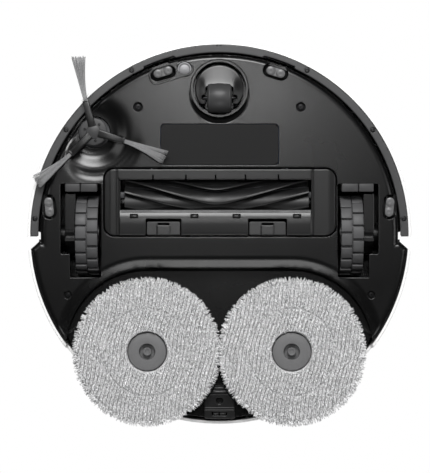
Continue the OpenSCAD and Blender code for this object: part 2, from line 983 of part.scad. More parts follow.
module mop_pad(x) {
    color("#c9c9cb")
        difference() {
            disc([x, mop_y], mop_r, [0, mop_t]);
            disc([x, mop_y], mop_hub_r + 0.3, [-1, mop_t + 1]);
        }
}

module right_mop_plate() { mop_plate(-mop_x); }
module left_mop_plate() { mop_plate(mop_x); }
module right_mop_pad() { mop_pad(-mop_x); }
module left_mop_pad() { mop_pad(mop_x); }

// ---------- top ----------

module lidar_rotor() {
    color("#1b1c1f") {
        disc([0, turret_y], 5, [66, 72]);
        disc([0, turret_y], 34, [71, 75]);
        disc([0, turret_y], 27, [75, turret_top - 6]);
    }
}

module top_lid() {
    color("#efefed") {
        difference() {
            round_box([-lid_x, lid_x], lid_y, [body_h - 2.2, body_h], 9.4);
            box([-lid_x - 1, lid_x + 1], [lid_y[1] - 10, lid_y[1] + 2], [body_h - 3, body_h + 1]);
        }
        box([-lid_x, lid_x], [lid_y[1] - 10, lid_y[1]], [body_h - 2.2, body_h]);
        shaft([-lid_x, lid_x], lid_y[1], lid_hinge_z, 1.6);
        shaft([-lid_x - 2.8, lid_x + 2.8], lid_y[1], lid_hinge_z, 0.8);
    }
}

module key_cap(x) {
    color("#dcdcda")
        translate([x, key_y, 0]) {
            translate([0, 0, body_h - 5]) cylinder(h = 5.2, r = key_r);
            translate([0, 0, body_h - 7]) cylinder(h = 2, r = key_r + 1.2);
        }
}

module power_key() { key_cap(-key_x); }
module home_key() { key_cap(key_x); }

bottom_chassis();
chassis_wall();
mop_bay();
wheel_housings();
rear_tongue();
top_shell();
rear_shell();
charge_contacts();
label_plate();
battery_pack();
main_board();
suction_fan();
dust_bin();
bin_filter();
water_tank();
side_brush_motor();
main_brush_motor();
brush_housing();
wheel_brackets();
pivot_pins();
wheel_springs();
caster_socket();
cliff_windows();
cliff_lenses();
carpet_sensor();
chassis_screws();
lidar_cage();
lidar_posts();
lidar_cap();
bumper_shell();
bumper_rail();
bumper_screws();
bumper_window();
right_wheel_arm();
left_wheel_arm();
right_wheel_hub();
left_wheel_hub();
right_tyre();
left_tyre();
caster_swivel();
caster_wheel();
caster_axle();
side_brush_hub();
side_brush_bristles();
brush_core();
brush_fins();
brush_bearings();
brush_guard();
right_latch();
left_latch();
mop_carriage();
mop_motor();
right_mop_plate();
left_mop_plate();
right_mop_pad();
left_mop_pad();
lidar_rotor();
top_lid();
power_key();
home_key();
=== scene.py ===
"""Looks for the floor-cleaning robot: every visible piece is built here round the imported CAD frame.

Lengths in this file are millimetres; mesh_piece() turns them into metres. Places come from the frame.
"""
import json
import math

import bmesh
import bpy
import numpy as np
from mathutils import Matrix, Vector


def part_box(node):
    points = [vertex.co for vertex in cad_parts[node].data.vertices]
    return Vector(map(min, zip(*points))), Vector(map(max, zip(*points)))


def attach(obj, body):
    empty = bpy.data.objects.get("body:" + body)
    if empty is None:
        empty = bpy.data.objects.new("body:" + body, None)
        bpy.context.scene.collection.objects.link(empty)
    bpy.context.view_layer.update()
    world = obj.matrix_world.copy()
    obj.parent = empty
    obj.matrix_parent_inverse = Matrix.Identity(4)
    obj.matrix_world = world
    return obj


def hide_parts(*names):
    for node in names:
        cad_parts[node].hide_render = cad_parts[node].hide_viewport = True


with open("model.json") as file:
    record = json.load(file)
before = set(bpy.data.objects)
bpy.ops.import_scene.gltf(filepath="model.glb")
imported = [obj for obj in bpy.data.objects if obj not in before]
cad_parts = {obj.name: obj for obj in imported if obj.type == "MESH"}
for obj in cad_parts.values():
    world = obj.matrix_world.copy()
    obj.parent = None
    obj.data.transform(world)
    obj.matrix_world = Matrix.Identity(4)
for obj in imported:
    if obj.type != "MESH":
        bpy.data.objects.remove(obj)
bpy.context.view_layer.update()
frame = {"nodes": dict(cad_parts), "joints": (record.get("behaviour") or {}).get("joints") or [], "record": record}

MM = 0.001
JOINTS = {j["name"]: j for j in frame["joints"]}


# ---------------------------------------------------------------- places read from the frame

def box_mm(node):
    """Lowest and highest corner of a CAD node, in millimetres."""
    low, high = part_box(node)
    return [v / MM for v in low], [v / MM for v in high]


def joint_mm(name):
    """A joint's anchor, in millimetres."""
    return [v / MM for v in JOINTS[name]["pos_m"]]


BODY_R = box_mm("rear_tongue")[1][1] + 5.5
CHASSIS_Z = box_mm("rear_tongue")[0][2]
TOP_Z = box_mm("top_shell")[1][2]
RAIL_LOW, RAIL_HIGH = box_mm("bumper_rail")
SHELL_LOW, SHELL_HIGH = box_mm("bumper_shell")
CASTER = joint_mm("caster_swivel_turn")
CASTER_WHEEL = joint_mm("caster_wheel_spin")
SIDE_HUB = joint_mm("side_brush_spin")
BRUSH = joint_mm("main_brush_spin")
MOP = joint_mm("left_mop_spin")
TURRET = joint_mm("lidar_spin")
WHEEL = joint_mm("left_wheel_spin")
GUARD_LOW, GUARD_HIGH = box_mm("brush_guard")
LABEL_LOW, LABEL_HIGH = box_mm("label_plate")
LID_LOW, LID_HIGH = box_mm("top_lid")
MOP_LOW, MOP_HIGH = box_mm("left_mop_pad")
MOP_R = (MOP_HIGH[0] - MOP_LOW[0]) / 2
SIDES = (-1, 1)


# ---------------------------------------------------------------- mesh helpers

def mesh_piece(name, verts, faces, body, material):
    """One mesh object from millimetre points, riding on a body."""
    mesh = bpy.data.meshes.new(name)
    mesh.from_pydata([tuple(c * MM for c in v) for v in verts], [], faces)
    mesh.validate()
    mesh.update()
    piece = bpy.data.objects.new(name, mesh)
    bpy.context.scene.collection.objects.link(piece)
    mesh.materials.append(material)
    mesh.shade_smooth()
    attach(piece, body)
    return piece


def tidy_normals(piece):
    bm = bmesh.new()
    bm.from_mesh(piece.data)
    bmesh.ops.recalc_face_normals(bm, faces=bm.faces)
    bm.to_mesh(piece.data)
    bm.free()


def sharpen(piece, degrees):
    """Smooth shading that keeps edges sharper than the given angle."""
    piece.data.shade_smooth()
    piece.data.set_sharp_from_angle(angle=math.radians(degrees))


def soften(piece, width):
    """Rounded edges on a hard piece, without changing its mesh."""
    bevel = piece.modifiers.new("soft_edges", "BEVEL")
    bevel.width = width * MM
    bevel.segments = 2
    bevel.limit_method = "ANGLE"
    bevel.angle_limit = math.radians(40)
    bevel.harden_normals = False


def join_meshes(parts):
    """Concatenates (verts, faces) pairs."""
    verts, faces = [], []
    for part_verts, part_faces in parts:
        start = len(verts)
        verts.extend(part_verts)
        faces.extend([tuple(i + start for i in f) for f in part_faces])
    return verts, faces


def lathe(profile, centre, steps=96, axis="z", closed=False, arc=(0, 360)):
    """Turns a (radius, height) profile round an axis. A closed profile makes a solid ring or arc."""
    full = abs(arc[1] - arc[0]) >= 360
    count = steps if full else steps + 1
    angles = [math.radians(arc[0] + (arc[1] - arc[0]) * i / steps) for i in range(count)]
    n = len(profile)
    verts, faces = [], []
    for a in angles:
        for r, h in profile:
            if axis == "z":
                verts.append((centre[0] + r * math.cos(a), centre[1] + r * math.sin(a), centre[2] + h))
            else:
                verts.append((centre[0] + h, centre[1] + r * math.cos(a), centre[2] + r * math.sin(a)))
    spans = n if closed else n - 1
    for i in range(steps):
        k = (i + 1) % count
        for j in range(spans):
            m = (j + 1) % n
            faces.append((i * n + j, k * n + j, k * n + m, i * n + m))
    if closed and not full:
        faces.append(tuple(range(n)))
        faces.append(tuple(reversed(range((count - 1) * n, count * n))))
    return verts, faces


def rect(a0, a1, b0, b1):
    """The four corners of a rectangle, as a closed profile."""
    return [(a0, b0), (a1, b0), (a1, b1), (a0, b1)]


def loft(rings):
    """Solid through closed rings of points, which all have the same number of points."""
    n = len(rings[0])
    verts = [v for ring in rings for v in ring]
    faces = [(i * n + j, (i + 1) * n + j, (i + 1) * n + (j + 1) % n, i * n + (j + 1) % n)
             for i in range(len(rings) - 1) for j in range(n)]
    faces += [tuple(reversed(range(n))), tuple(range((len(rings) - 1) * n, len(rings) * n))]
    return verts, faces


def wedge(corners, low, high):
    """Upright prism on a triangle."""
    verts = [(*c, z) for z in (low, high) for c in corners]
    return verts, [(0, 1, 2), (5, 4, 3), (0, 3, 4, 1), (1, 4, 5, 2), (2, 5, 3, 0)]


def turned(verts, angle, centre):
    """Points turned in plan by an angle in radians and moved to centre."""
    c, s = math.cos(angle), math.sin(angle)
    return [(centre[0] + x * c - y * s, centre[1] + x * s + y * c, centre[2] + z) for x, y, z in verts]


def round_profile(points, radius, steps=4):
    """Rounds the corners of a closed (r, z) outline."""
    out = []
    n = len(points)
    for i in range(n):
        p, a, b = np.array(points[i]), np.array(points[i - 1]), np.array(points[(i + 1) % n])
        u, v = (a - p), (b - p)
        lu, lv = np.linalg.norm(u), np.linalg.norm(v)
        cut = min(radius, lu * 0.45, lv * 0.45)
        p0, p1 = p + u / lu * cut, p + v / lv * cut
        for k in range(steps + 1):
            t = k / steps
            out.append(tuple((1 - t) ** 2 * p0 + 2 * t * (1 - t) * p + t ** 2 * p1))
    return out


def block(low, high, radius=0.6, steps=3):
    """Box with rounded edges as (verts, faces), lengths in mm."""
    bm = bmesh.new()
    bmesh.ops.create_cube(bm, size=1)
    size = [high[i] - low[i] for i in range(3)]
    for v in bm.verts:
        v.co = Vector([low[i] + (v.co[i] + 0.5) * size[i] for i in range(3)])
    width = min(radius, min(size) * 0.45)
    bmesh.ops.bevel(bm, geom=bm.edges[:], offset=width, segments=steps, profile=0.5, affect="EDGES")
    verts = [tuple(v.co) for v in bm.verts]
    faces = [tuple(v.index for v in f.verts) for f in bm.faces]
    bm.free()
    return verts, faces


# ---------------------------------------------------------------- plates cut by distance fields

def hole_circle(cx, cy, r):
    return lambda x, y: np.hypot(x - cx, y - cy) - r


def inside(field):
    """Turns a hole's distance field into that of a plate with the same outline."""
    return lambda x, y: -field(x, y)


def level(z):
    """Height of a flat plate."""
    return lambda x, y: np.full(np.shape(x), z)


def hole_box(x0, x1, y0, y1, r, turn=0.0):
    """Distance to a rounded rectangle, positive outside it."""
    cx, cy, hx, hy = (x0 + x1) / 2, (y0 + y1) / 2, (x1 - x0) / 2 - r, (y1 - y0) / 2 - r
    c, s = math.cos(turn), math.sin(turn)

    def distance(x, y):
        u, v = (x - cx) * c + (y - cy) * s, -(x - cx) * s + (y - cy) * c
        dx, dy = np.abs(u) - hx, np.abs(v) - hy
        outer = np.hypot(np.maximum(dx, 0), np.maximum(dy, 0))
        return outer + np.minimum(np.maximum(dx, dy), 0) - r
    return distance


def slot_hole(x, y, half_x, half_y, r, turn=0.0):
    """Rounded rectangle about a centre."""
    return hole_box(x - half_x, x + half_x, y - half_y, y + half_y, r, turn)


def box_hole(low, high, margin, r):
    """Rounded rectangle round a CAD box, seen in plan."""
    return hole_box(low[0] - margin, high[0] + margin, low[1] - margin, high[1] + margin, r)


def plate_mesh(extent, step, edges, height, up=1):
    """Grid surface z = height(x, y), trimmed by distance fields, with rounded rims and walls behind.

    edges is a list of (distance field positive on the plate, rim radius, wall depth).
    up is +1 where the plate's hidden side is above it, and -1 where it is below.
    """
    x0, x1, y0, y1 = extent
    xs = np.arange(x0, x1 + step, step)
    ys = np.arange(y0, y1 + step, step)
    x, y = np.meshgrid(xs, ys, indexing="ij")

    def fields(px, py):
        return np.array([f(px, py) - r for f, r, _ in edges])

    def shrunk(px, py):
        return fields(px, py).min(axis=0)

    def slope(px, py):
        e = 0.02
        gx = (shrunk(px + e, py) - shrunk(px - e, py)) / (2 * e)
        gy = (shrunk(px, py + e) - shrunk(px, py - e)) / (2 * e)
        size = np.maximum(np.hypot(gx, gy), 0.05)
        return gx / size, gy / size

    s = shrunk(x, y)
    keep = s > -0.72 * step
    near = keep & (s < 0.45 * step)
    px, py = x[near], y[near]
    for _ in range(3):
        d = shrunk(px, py)
        gx, gy = slope(px, py)
        px, py = px - d * gx, py - d * gy
    x[near], y[near] = px, py
    index = -np.ones(x.shape, dtype=int)
    index[keep] = np.arange(keep.sum())
    a, b, c, d = index[:-1, :-1], index[1:, :-1], index[1:, 1:], index[:-1, 1:]
    full = (a >= 0) & (b >= 0) & (c >= 0) & (d >= 0)
    quads = np.stack([a[full], d[full], c[full], b[full]], axis=1)
    # Triangles close the corners where just one grid point is off the plate
    triangles = []
    for trio, missing in (((a, d, c), b), ((a, c, b), d), ((a, d, b), c), ((b, d, c), a)):
        some = (missing < 0) & (trio[0] >= 0) & (trio[1] >= 0) & (trio[2] >= 0)
        triangles.append(np.stack([t[some] for t in trio], axis=1))
    vx, vy = x[keep], y[keep]
    faces = [tuple(q) for q in quads.tolist()]
    for t in triangles:
        faces.extend(tuple(q) for q in t.tolist())
    if up < 0:
        faces = [tuple(reversed(f)) for f in faces]
    count = {}
    for f in faces:
        for i in range(len(f)):
            e = (f[i], f[(i + 1) % len(f)])
            key = (min(e), max(e))
            count[key] = None if key in count else e
    rim = [e for e in count.values() if e is not None]
    vz = height(vx, vy)
    verts = np.stack([vx, vy, vz], axis=1).tolist()
    ids = sorted({i for e in rim for i in e})
    rx, ry = vx[ids], vy[ids]
    active = fields(rx, ry).argmin(axis=0)
    radius = np.array([e[1] for e in edges])[active]
    depth = np.array([e[2] for e in edges])[active]
    gx, gy = slope(rx, ry)
    previous = {i: i for i in ids}
    rim_z = vz[ids]
    rings = [(math.sin(t), 1 - math.cos(t)) for t in np.linspace(0, math.pi / 2, 5)[1:]]
    levels = [(radius * out, up * radius * rise) for out, rise in rings]
    levels.append((radius, up * np.maximum(depth, radius + 0.01)))
    for out, rise in levels:
        start = len(verts)
        verts.extend(np.stack([rx - gx * out, ry - gy * out, rim_z + rise], axis=1).tolist())
        here = {i: start + k for k, i in enumerate(ids)}
        faces.extend((previous[j], previous[i], here[i], here[j]) for i, j in rim)
        previous = here
    return verts, faces


def smooth_clamp(t, soft):
    """0 below 0, 1 above 1, straight between, with both corners rounded over +-soft."""
    def ramp(u):
        return np.where(u < -soft, 0, np.where(u > soft, u, (u + soft) ** 2 / (4 * soft)))
    return np.clip(ramp(t) - ramp(t - 1), 0, 1)


def soft_step(t):
    """0 well below 0 and 1 well above it."""
    return 0.5 + 0.5 * np.tanh(t)


def by_mode(fine):
    return fine


# ---------------------------------------------------------------- materials

class Surface:
    """A Principled material under construction."""

    def __init__(self, name, color, rough, **inputs):
        self.material = bpy.data.materials.new(name)
        self.material.use_nodes = True
        self.tree = self.material.node_tree
        self.shader = self.tree.nodes["Principled BSDF"]
        self.color = color
        self.rough = rough
        self.shader.inputs["Base Color"].default_value = (*color, 1)
        self.shader.inputs["Roughness"].default_value = rough
        for key, value in inputs.items():
            self.shader.inputs[key.replace("_", " ")].default_value = value

    def node(self, kind, inputs, output=0, **settings):
        """Adds a node and gives one of its outputs. An input is a value or another node's output."""
        new = self.tree.nodes.new(kind)
        for key, value in settings.items():
            setattr(new, key, value)
        for key, value in inputs.items():
            if isinstance(value, bpy.types.NodeSocket):
                self.tree.links.new(value, new.inputs[key])
            else:
                new.inputs[key].default_value = value
        return new.outputs[output]

    def space(self, stretch=(1, 1, 1)):
        """Object coordinates, stretched, as the texture space."""
        place = self.node("ShaderNodeTexCoord", {}, "Object")
        return self.node("ShaderNodeMapping", {"Vector": place, "Scale": stretch})

    def noise(self, space, scale, detail=2.0, roughness=0.5):
        return self.node("ShaderNodeTexNoise", {"Vector": space, "Scale": scale, "Detail": detail,
                                                "Roughness": roughness}, "Fac")

    def remap(self, value, low, high, from_low=0.3, from_high=0.7):
        return self.node("ShaderNodeMapRange", {"Value": value, "From Min": from_low, "From Max": from_high,
                                                "To Min": low, "To Max": high}, "Result")

    def tint(self, value, dark, light):
        """Lets a 0..1 value move the colour between a darker and a lighter share of itself."""
        new = self.tree.nodes.new("ShaderNodeValToRGB")
        for element, share in zip(new.color_ramp.elements, (dark, light)):
            element.color = (*[min(1, c * share) for c in self.color], 1)
        self.tree.links.new(value, new.inputs["Fac"])
        self.tree.links.new(new.outputs["Color"], self.shader.inputs["Base Color"])

    def gloss(self, value, less, more):
        """Lets a value move the roughness round its mean."""
        uneven = self.remap(value, self.rough - less, self.rough + more)
        self.tree.links.new(uneven, self.shader.inputs["Roughness"])

    def relief(self, value, strength, distance):
        out = self.node("ShaderNodeBump", {"Height": value, "Strength": strength, "Distance": distance})
        self.tree.links.new(out, self.shader.inputs["Normal"])


def moulded(name, color, rough, grain=2600, spread=0.12, specular=0.5):
    """Moulded plastic with spark-erosion grain, slight colour drift and uneven gloss."""
    s = Surface(name, color, rough, Specular_IOR_Level=specular)
    space = s.space()
    broad = s.noise(space, 14, 3)
    s.tint(broad, 1 - spread, 1 + spread)
    s.gloss(broad, 0.02, 0.02)
    s.relief(s.noise(space, grain), 0.35, 0.00003)
    return s.material


def gloss_shell(name, color):
    """Painted glossy shell with faint orange peel."""
    s = Surface(name, color, 0.28, Coat_Weight=0.35, Coat_Roughness=0.12)
    space = s.space()
    broad = s.noise(space, 9)
    s.tint(broad, 0.97, 1.02)
    s.gloss(broad, 0.04, 0.06)
    s.relief(s.noise(space, 420), 0.12, 0.00004)
    return s.material


def rubber(name, color, rough):
    """Soft rubber with a fine dusty grain."""
    s = Surface(name, color, rough, Specular_IOR_Level=0.42)
    space = s.space()
    dust = s.noise(space, 60, 4, 0.65)
    s.tint(dust, 0.82, 1.22)
    s.gloss(dust, 0.08, 0.1)
    s.relief(s.noise(space, 1800, 3, 0.6), 0.4, 0.00005)
    return s.material


def steel(name, color, rough):
    """Drawn or turned metal with fine streaks."""
    s = Surface(name, color, rough, Metallic=1.0)
    streak = s.noise(s.space((40, 900, 900)), 3, 3)
    s.tint(streak, 0.8, 1.15)
    s.gloss(streak, 0.08, 0.1)
    s.relief(streak, 0.2, 0.00002)
    return s.material


def dark_glass(name, color):
    """Smoked window that looks nearly black."""
    s = Surface(name, color, 0.12, Coat_Weight=0.6, Coat_Roughness=0.04)
    cloud = s.noise(s.space(), 120)
    s.tint(cloud, 0.8, 1.3)
    s.gloss(cloud, 0.04, 0.06)
    return s.material


def terry(name, color):
    """Microfibre yarn: soft sheen, uneven brightness from strand to strand."""
    s = Surface(name, color, 0.92, Sheen_Weight=0.25, Sheen_Roughness=0.5, Specular_IOR_Level=0.15)
    strands = s.noise(s.space((1.0, 0.35, 1.0)), 1300, 3, 0.65)
    clumps = s.noise(s.space(), 200, 3, 0.6)
    both = s.node("ShaderNodeMath", {0: clumps, 1: 0.35, 2: s.remap(strands, -0.05, 0.75, 0.36, 0.64)},
                  operation="MULTIPLY_ADD")
    s.tint(both, 0.26, 1.3)
    s.relief(strands, 0.8, 0.0002)
    return s.material


def strand_plastic(name, color):
    """Nylon bristle: streaked along its length, a little glossy."""
    s = Surface(name, color, 0.42)
    streak = s.noise(s.space(), 700, 3, 0.6)
    s.tint(streak, 0.55, 1.5)
    s.gloss(streak, 0.07, 0.13)
    return s.material


def paper_filter(name, color):
    """Pleated filter paper."""
    s = Surface(name, color, 0.95)
    wave = s.node("ShaderNodeTexWave", {"Vector": s.space(), "Scale": 90, "Distortion": 0.4}, "Fac",
                  bands_direction="Y")
    s.tint(wave, 0.7, 1.0)
    s.relief(wave, 0.8, 0.0006)
    return s.material


def board_material(name, color):
    """Circuit board: solder mask with a faint track pattern."""
    s = Surface(name, color, 0.4)
    shares = {"Color1": 1, "Color2": 1.4, "Mortar": 0.6}
    shades = {key: (*[c * share for c in color], 1) for key, share in shares.items()}
    tracks = s.node("ShaderNodeTexBrick", {"Vector": s.space(), "Scale": 260, **shades}, "Color")
    s.tree.links.new(tracks, s.shader.inputs["Base Color"])
    return s.material


MATERIALS = {
    "white_shell": gloss_shell("white_shell", (0.82, 0.82, 0.815)),
    "key_plastic": gloss_shell("key_plastic", (0.62, 0.62, 0.615)),
    "chassis_black": moulded("chassis_black", (0.003, 0.003, 0.0031), 0.26, specular=0.46),
    "label_film": moulded("label_film", (0.006, 0.006, 0.0062), 0.6, grain=1400, specular=0.28),
    "rail_grey": moulded("rail_grey", (0.043, 0.043, 0.044), 0.42),
    "module_black": moulded("module_black", (0.009, 0.009, 0.0092), 0.3),
    "inner_plastic": moulded("inner_plastic", (0.06, 0.061, 0.065), 0.5),
    "tyre_rubber": rubber("tyre_rubber", (0.085, 0.085, 0.087), 0.55),
    "caster_grey": rubber("caster_grey", (0.046, 0.046, 0.047), 0.45),
    "fin_rubber": rubber("fin_rubber", (0.009, 0.009, 0.0093), 0.42),
    "bristle_grey": strand_plastic("bristle_grey", (0.24, 0.24, 0.243)),
    "hub_grey": moulded("hub_grey", (0.145, 0.145, 0.147), 0.55, grain=1800, spread=0.05),
    "mop_fabric": terry("mop_fabric", (0.76, 0.76, 0.765)),
    "steel": steel("steel", (0.035, 0.035, 0.036), 0.4),
    "contact_metal": steel("contact_metal", (0.78, 0.62, 0.34), 0.2),
    "battery_wrap": moulded("battery_wrap", (0.03, 0.09, 0.22), 0.35),
    "board_green": board_material("board_green", (0.01, 0.09, 0.03)),
    "bin_smoke": moulded("bin_smoke", (0.07, 0.073, 0.078), 0.18, grain=300),
    "filter_paper": paper_filter("filter_paper", (0.75, 0.73, 0.66)),
    "tank_plastic": moulded("tank_plastic", (0.2, 0.22, 0.24), 0.2, grain=300),
    "sensor_dark": dark_glass("sensor_dark", (0.006, 0.006, 0.008)),
    "sensor_lens": moulded("sensor_lens", (0.12, 0.12, 0.122), 0.33, grain=400),
    "sensor_metal": steel("sensor_metal", (0.33, 0.33, 0.34), 0.62),
}


def dress_cad_nodes():
    """Every CAD node gets its slot's material."""
    slots = {row["node"]: row["material_slot"] for row in frame["record"]["subparts"]}
    for name, node in frame["nodes"].items():
        node.data.materials.clear()
        node.data.materials.append(MATERIALS[slots[name]])


dress_cad_nodes()


def place(name, mesh, body, slot, replaces=(), sharp=None, closed=False):
    """Builds a piece, gives it its slot's material and hides the CAD nodes it stands for.

    sharp is the angle in degrees from which edges stay sharp. A closed mesh gets its normals turned outward.
    """
    piece = mesh_piece(name, mesh[0], mesh[1], body, MATERIALS[slot])
    if sharp:
        sharpen(piece, sharp)
    if replaces:
        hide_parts(*replaces)
    if closed:
        tidy_normals(piece)
    return piece


# ---------------------------------------------------------------- chassis

# Floor outline: radius behind the bumper, radius at the rear, and the notch at each side between the two
FRONT_R, REAR_R = BODY_R - 11.7, BODY_R - 2.9
NOTCH_Y, NOTCH_X, NOTCH_SLOPE = 7.5, BODY_R - 10.2, 0.897
# Mop recess: radius at the ramp's foot and head round each mop, height of its ceiling and of the ramp
RECESS_LOW, RECESS_HIGH, RECESS_RISE, RAMP_RISE = 84.6, 75.2, 16.0, 4.0
RAMP_WIDTH = RECESS_LOW - RECESS_HIGH
EDGE_ROUND = 5.5
# Screws on the left side, mirrored on the right: x, y, pocket radius
FLOOR_SCREWS = [(74.2, -115.0, 4.3), (138.2, 56.0, 3.6)]
ROOF_SCREW = (133.3, 99.8, 3.5)
POCKET_DEPTH = 3.5
CARPET = (-31.8, -149.4)
CONTACT_X = 22
# Cliff sensors: x, y, turn in degrees, and the opening's margin round its lenses
CLIFF_SENSORS = [(-51.3, -147.0, -17, 2.0), (-155.1, -24.0, -96, 1.0),
                 (51.3, -147.0, 17, 1.5), (155.1, -24.0, 96, 1.0)]
BAY = (GUARD_LOW[0] - 0.4, GUARD_HIGH[0] + 0.4, GUARD_LOW[1] - 0.4, GUARD_HIGH[1] + 0.4)
WELL_WIDE, WELL_NARROW = (108, 144.5, -45, 18.7), (108, 136, -10, 40.1)


def body_outline(front_r, rear_r, notch_x):
    """Distance field of the round body with its two side notches."""
    def distance(x, y):
        r = np.hypot(x, y)
        slant = (y - NOTCH_Y - NOTCH_SLOPE * (np.abs(x) - notch_x)) / math.hypot(1, NOTCH_SLOPE)
        return np.minimum(rear_r - r, np.maximum(front_r - r, np.minimum(y - NOTCH_Y, slant)))
    return distance


floor_outline = body_outline(FRONT_R, REAR_R, NOTCH_X)


def recess_depth(x, y):
    """How far a point lies inside the mop recess's lower edge."""
    rounds = [RECESS_LOW - np.hypot(x - side * MOP[0], y - MOP[1]) for side in SIDES]
    band = np.where(np.abs(x) < MOP[0], RECESS_LOW - np.abs(y - MOP[1]), -50)
    return np.maximum(np.maximum(rounds[0], rounds[1]), band)


def dish_height(u, v):
    """Rise of the floor round the side brush: a bowl, and toward the rear a step with a ridge before it.

    u and v are measured from the brush's hub.
    """
    r = np.hypot(u, v)
    bowl = 4.6 * soft_step((25.5 - r) / 5.5)
    rear = soft_step((v - 15) / 9) * soft_step((u + 19) / 6)
    step = 2.1 * soft_step((40.5 - np.hypot(u - 1, v - 2)) / 3.7)
    ridge = 0.55 * np.exp(-((r - 33) / 3.6) ** 2)
    return bowl + rear * (step - ridge)


def chassis_height(x, y):
    """Lower face of the floor, with the ramp before the mops and the side brush's dish."""
    ramp = RAMP_RISE * smooth_clamp(recess_depth(x, y) / RAMP_WIDTH, 0.25)
    dish = dish_height(x - SIDE_HUB[0], y - SIDE_HUB[1])
    near_edge = np.clip(EDGE_ROUND - floor_outline(x, y), 0, 4.6)
    edge = EDGE_ROUND - np.sqrt(EDGE_ROUND ** 2 - near_edge ** 2)
    # Low flare behind the caster
    from_caster = np.hypot(x - CASTER[0], y - CASTER[1] - 5.8)
    flare = 5.5 * smooth_clamp((26.6 - from_caster) / 6.5, 0.12) * (y > CASTER[1] - 8)
    return CHASSIS_Z + ramp + dish + edge + flare


def well_field(side):
    """Opening over a drive wheel: a wide front part for the gearbox and a narrow one for the tyre."""
    parts = [hole_box(*part, 0.8) for part in (WELL_WIDE, WELL_NARROW)]
    return lambda x, y: np.minimum(*[part(side * x, y) for part in parts])


def floor_edges():
    """Every edge of the chassis floor."""
    edges = [(lambda x, y: floor_outline(x, y) - 0.5, 0.4, 30),
             (lambda x, y: RAMP_WIDTH + 0.4 - recess_depth(x, y), 0.5, 12)]
    for side in SIDES:
        edges.append((well_field(side), 0.6, 3.5))
        for x, y, r in FLOOR_SCREWS:
            edges.append((hole_circle(side * x, y, r), 0.3, POCKET_DEPTH + 0.1))
    edges.append((hole_box(*BAY, 10), 0.8, 16))
    edges.append((hole_circle(CASTER[0], CASTER[1], 26.2), 0.5, 10))
    edges.append((hole_circle(SIDE_HUB[0], SIDE_HUB[1], 14.4), 0.3, 6))
    edges.append((hole_circle(*CARPET, 6.9), 0.4, 5))
    edges.append((box_hole(LABEL_LOW, LABEL_HIGH, 0.3, 3.6), 0.3, 1.4))
    for x, y, turn, margin in CLIFF_SENSORS:
        hole = slot_hole(x, y, 10.2 + margin, 5 + margin, 4.9 + margin, math.radians(turn))
        edges.append((hole, 0.4, 5))
    return edges


def make_chassis():
    step = by_mode(0.8)
    extent = (-REAR_R - 1, REAR_R + 1, -FRONT_R - 1, REAR_R + 1)
    pockets = [lathe([(0, 0), (r + 0.4, 0)], (x, y, z + POCKET_DEPTH), 24) for x, y, z, r in case_screws()]
    place("screw_pockets", join_meshes(pockets), "body", "label_film")
    floor = plate_mesh(extent, step, floor_edges(), chassis_height)
    washer = lathe(rect(11, 24, 20, 20.6), (SIDE_HUB[0], SIDE_HUB[1], 0), 48, closed=True)
    place("chassis_skin", join_meshes([floor, washer]), "body", "chassis_black", ["bottom_chassis"])
    # Ceiling over the mops
    edges = [(body_outline(FRONT_R, REAR_R - 2.8, NOTCH_X), 0.5, 1),
             (lambda x, y: recess_depth(x, y) - RAMP_WIDTH + 0.2, 0.3, 1)]
    x, y, r = ROOF_SCREW
    for side in SIDES:
        edges.append((hole_circle(side * MOP[0], MOP[1], 8), 0.6, 6))
        edges.append((hole_circle(side * x, y, r), 0.3, POCKET_DEPTH + 0.1))
    mesh = plate_mesh((-REAR_R, REAR_R, 25, REAR_R + 1), step, edges, level(CHASSIS_Z + RECESS_RISE))
    place("mop_bay_skin", mesh, "body", "chassis_black", ["mop_bay"])


def make_tongue():
    """Narrow strip between the mops that closes the recess at the rear."""
    port_y = 152.5

    def outline(x, y):
        edge = np.minimum(14 - np.abs(x), np.minimum(y - 140, REAR_R - 2.6 - np.hypot(x, y)))
        for side in SIDES:
            edge = np.minimum(edge, np.hypot(x - side * MOP[0], y - MOP[1]) - MOP_R - 3.6)
        return edge

    def height(x, y):
        ridge = np.maximum(0, 1 - np.abs(y - 145.3) / 1.6)
        step_down = smooth_clamp((y - 158.5) / 2.5, 0.3)
        return CHASSIS_Z + 1.6 - 1.2 * ridge + 1.5 * step_down

    edges = [(outline, 0.9, 14), (hole_circle(0, port_y, 3), 0.7, 8),
             (hole_box(-7, 7, 162.8, 166.2, 0.8), 0.4, 4)]
    parts = [plate_mesh((-15, 15, 139, 171), 0.35, edges, height)]
    parts += [block((x0, 163.8, 12.6), (x0 + 5, 165.4, 13.4), 0.3) for x0 in (-5.6, 0.6)]
    parts.append(lathe([(0, 7), (3.4, 7)], (0, port_y, CHASSIS_Z + 1), 24))
    place("tongue_skin", join_meshes(parts), "body", "module_black", ["rear_tongue"], sharp=50)


def make_label():
    extent = (LABEL_LOW[0] - 1, LABEL_HIGH[0] + 1, LABEL_LOW[1] - 1, LABEL_HIGH[1] + 1)
    outline = inside(box_hole(LABEL_LOW, LABEL_HIGH, 0, 3.3))
    mesh = plate_mesh(extent, 0.9, [(outline, 0.2, 0.4)], level(LABEL_LOW[2]))
    place("rating_label", mesh, "body", "label_film", ["label_plate"])


# ---------------------------------------------------------------- screws

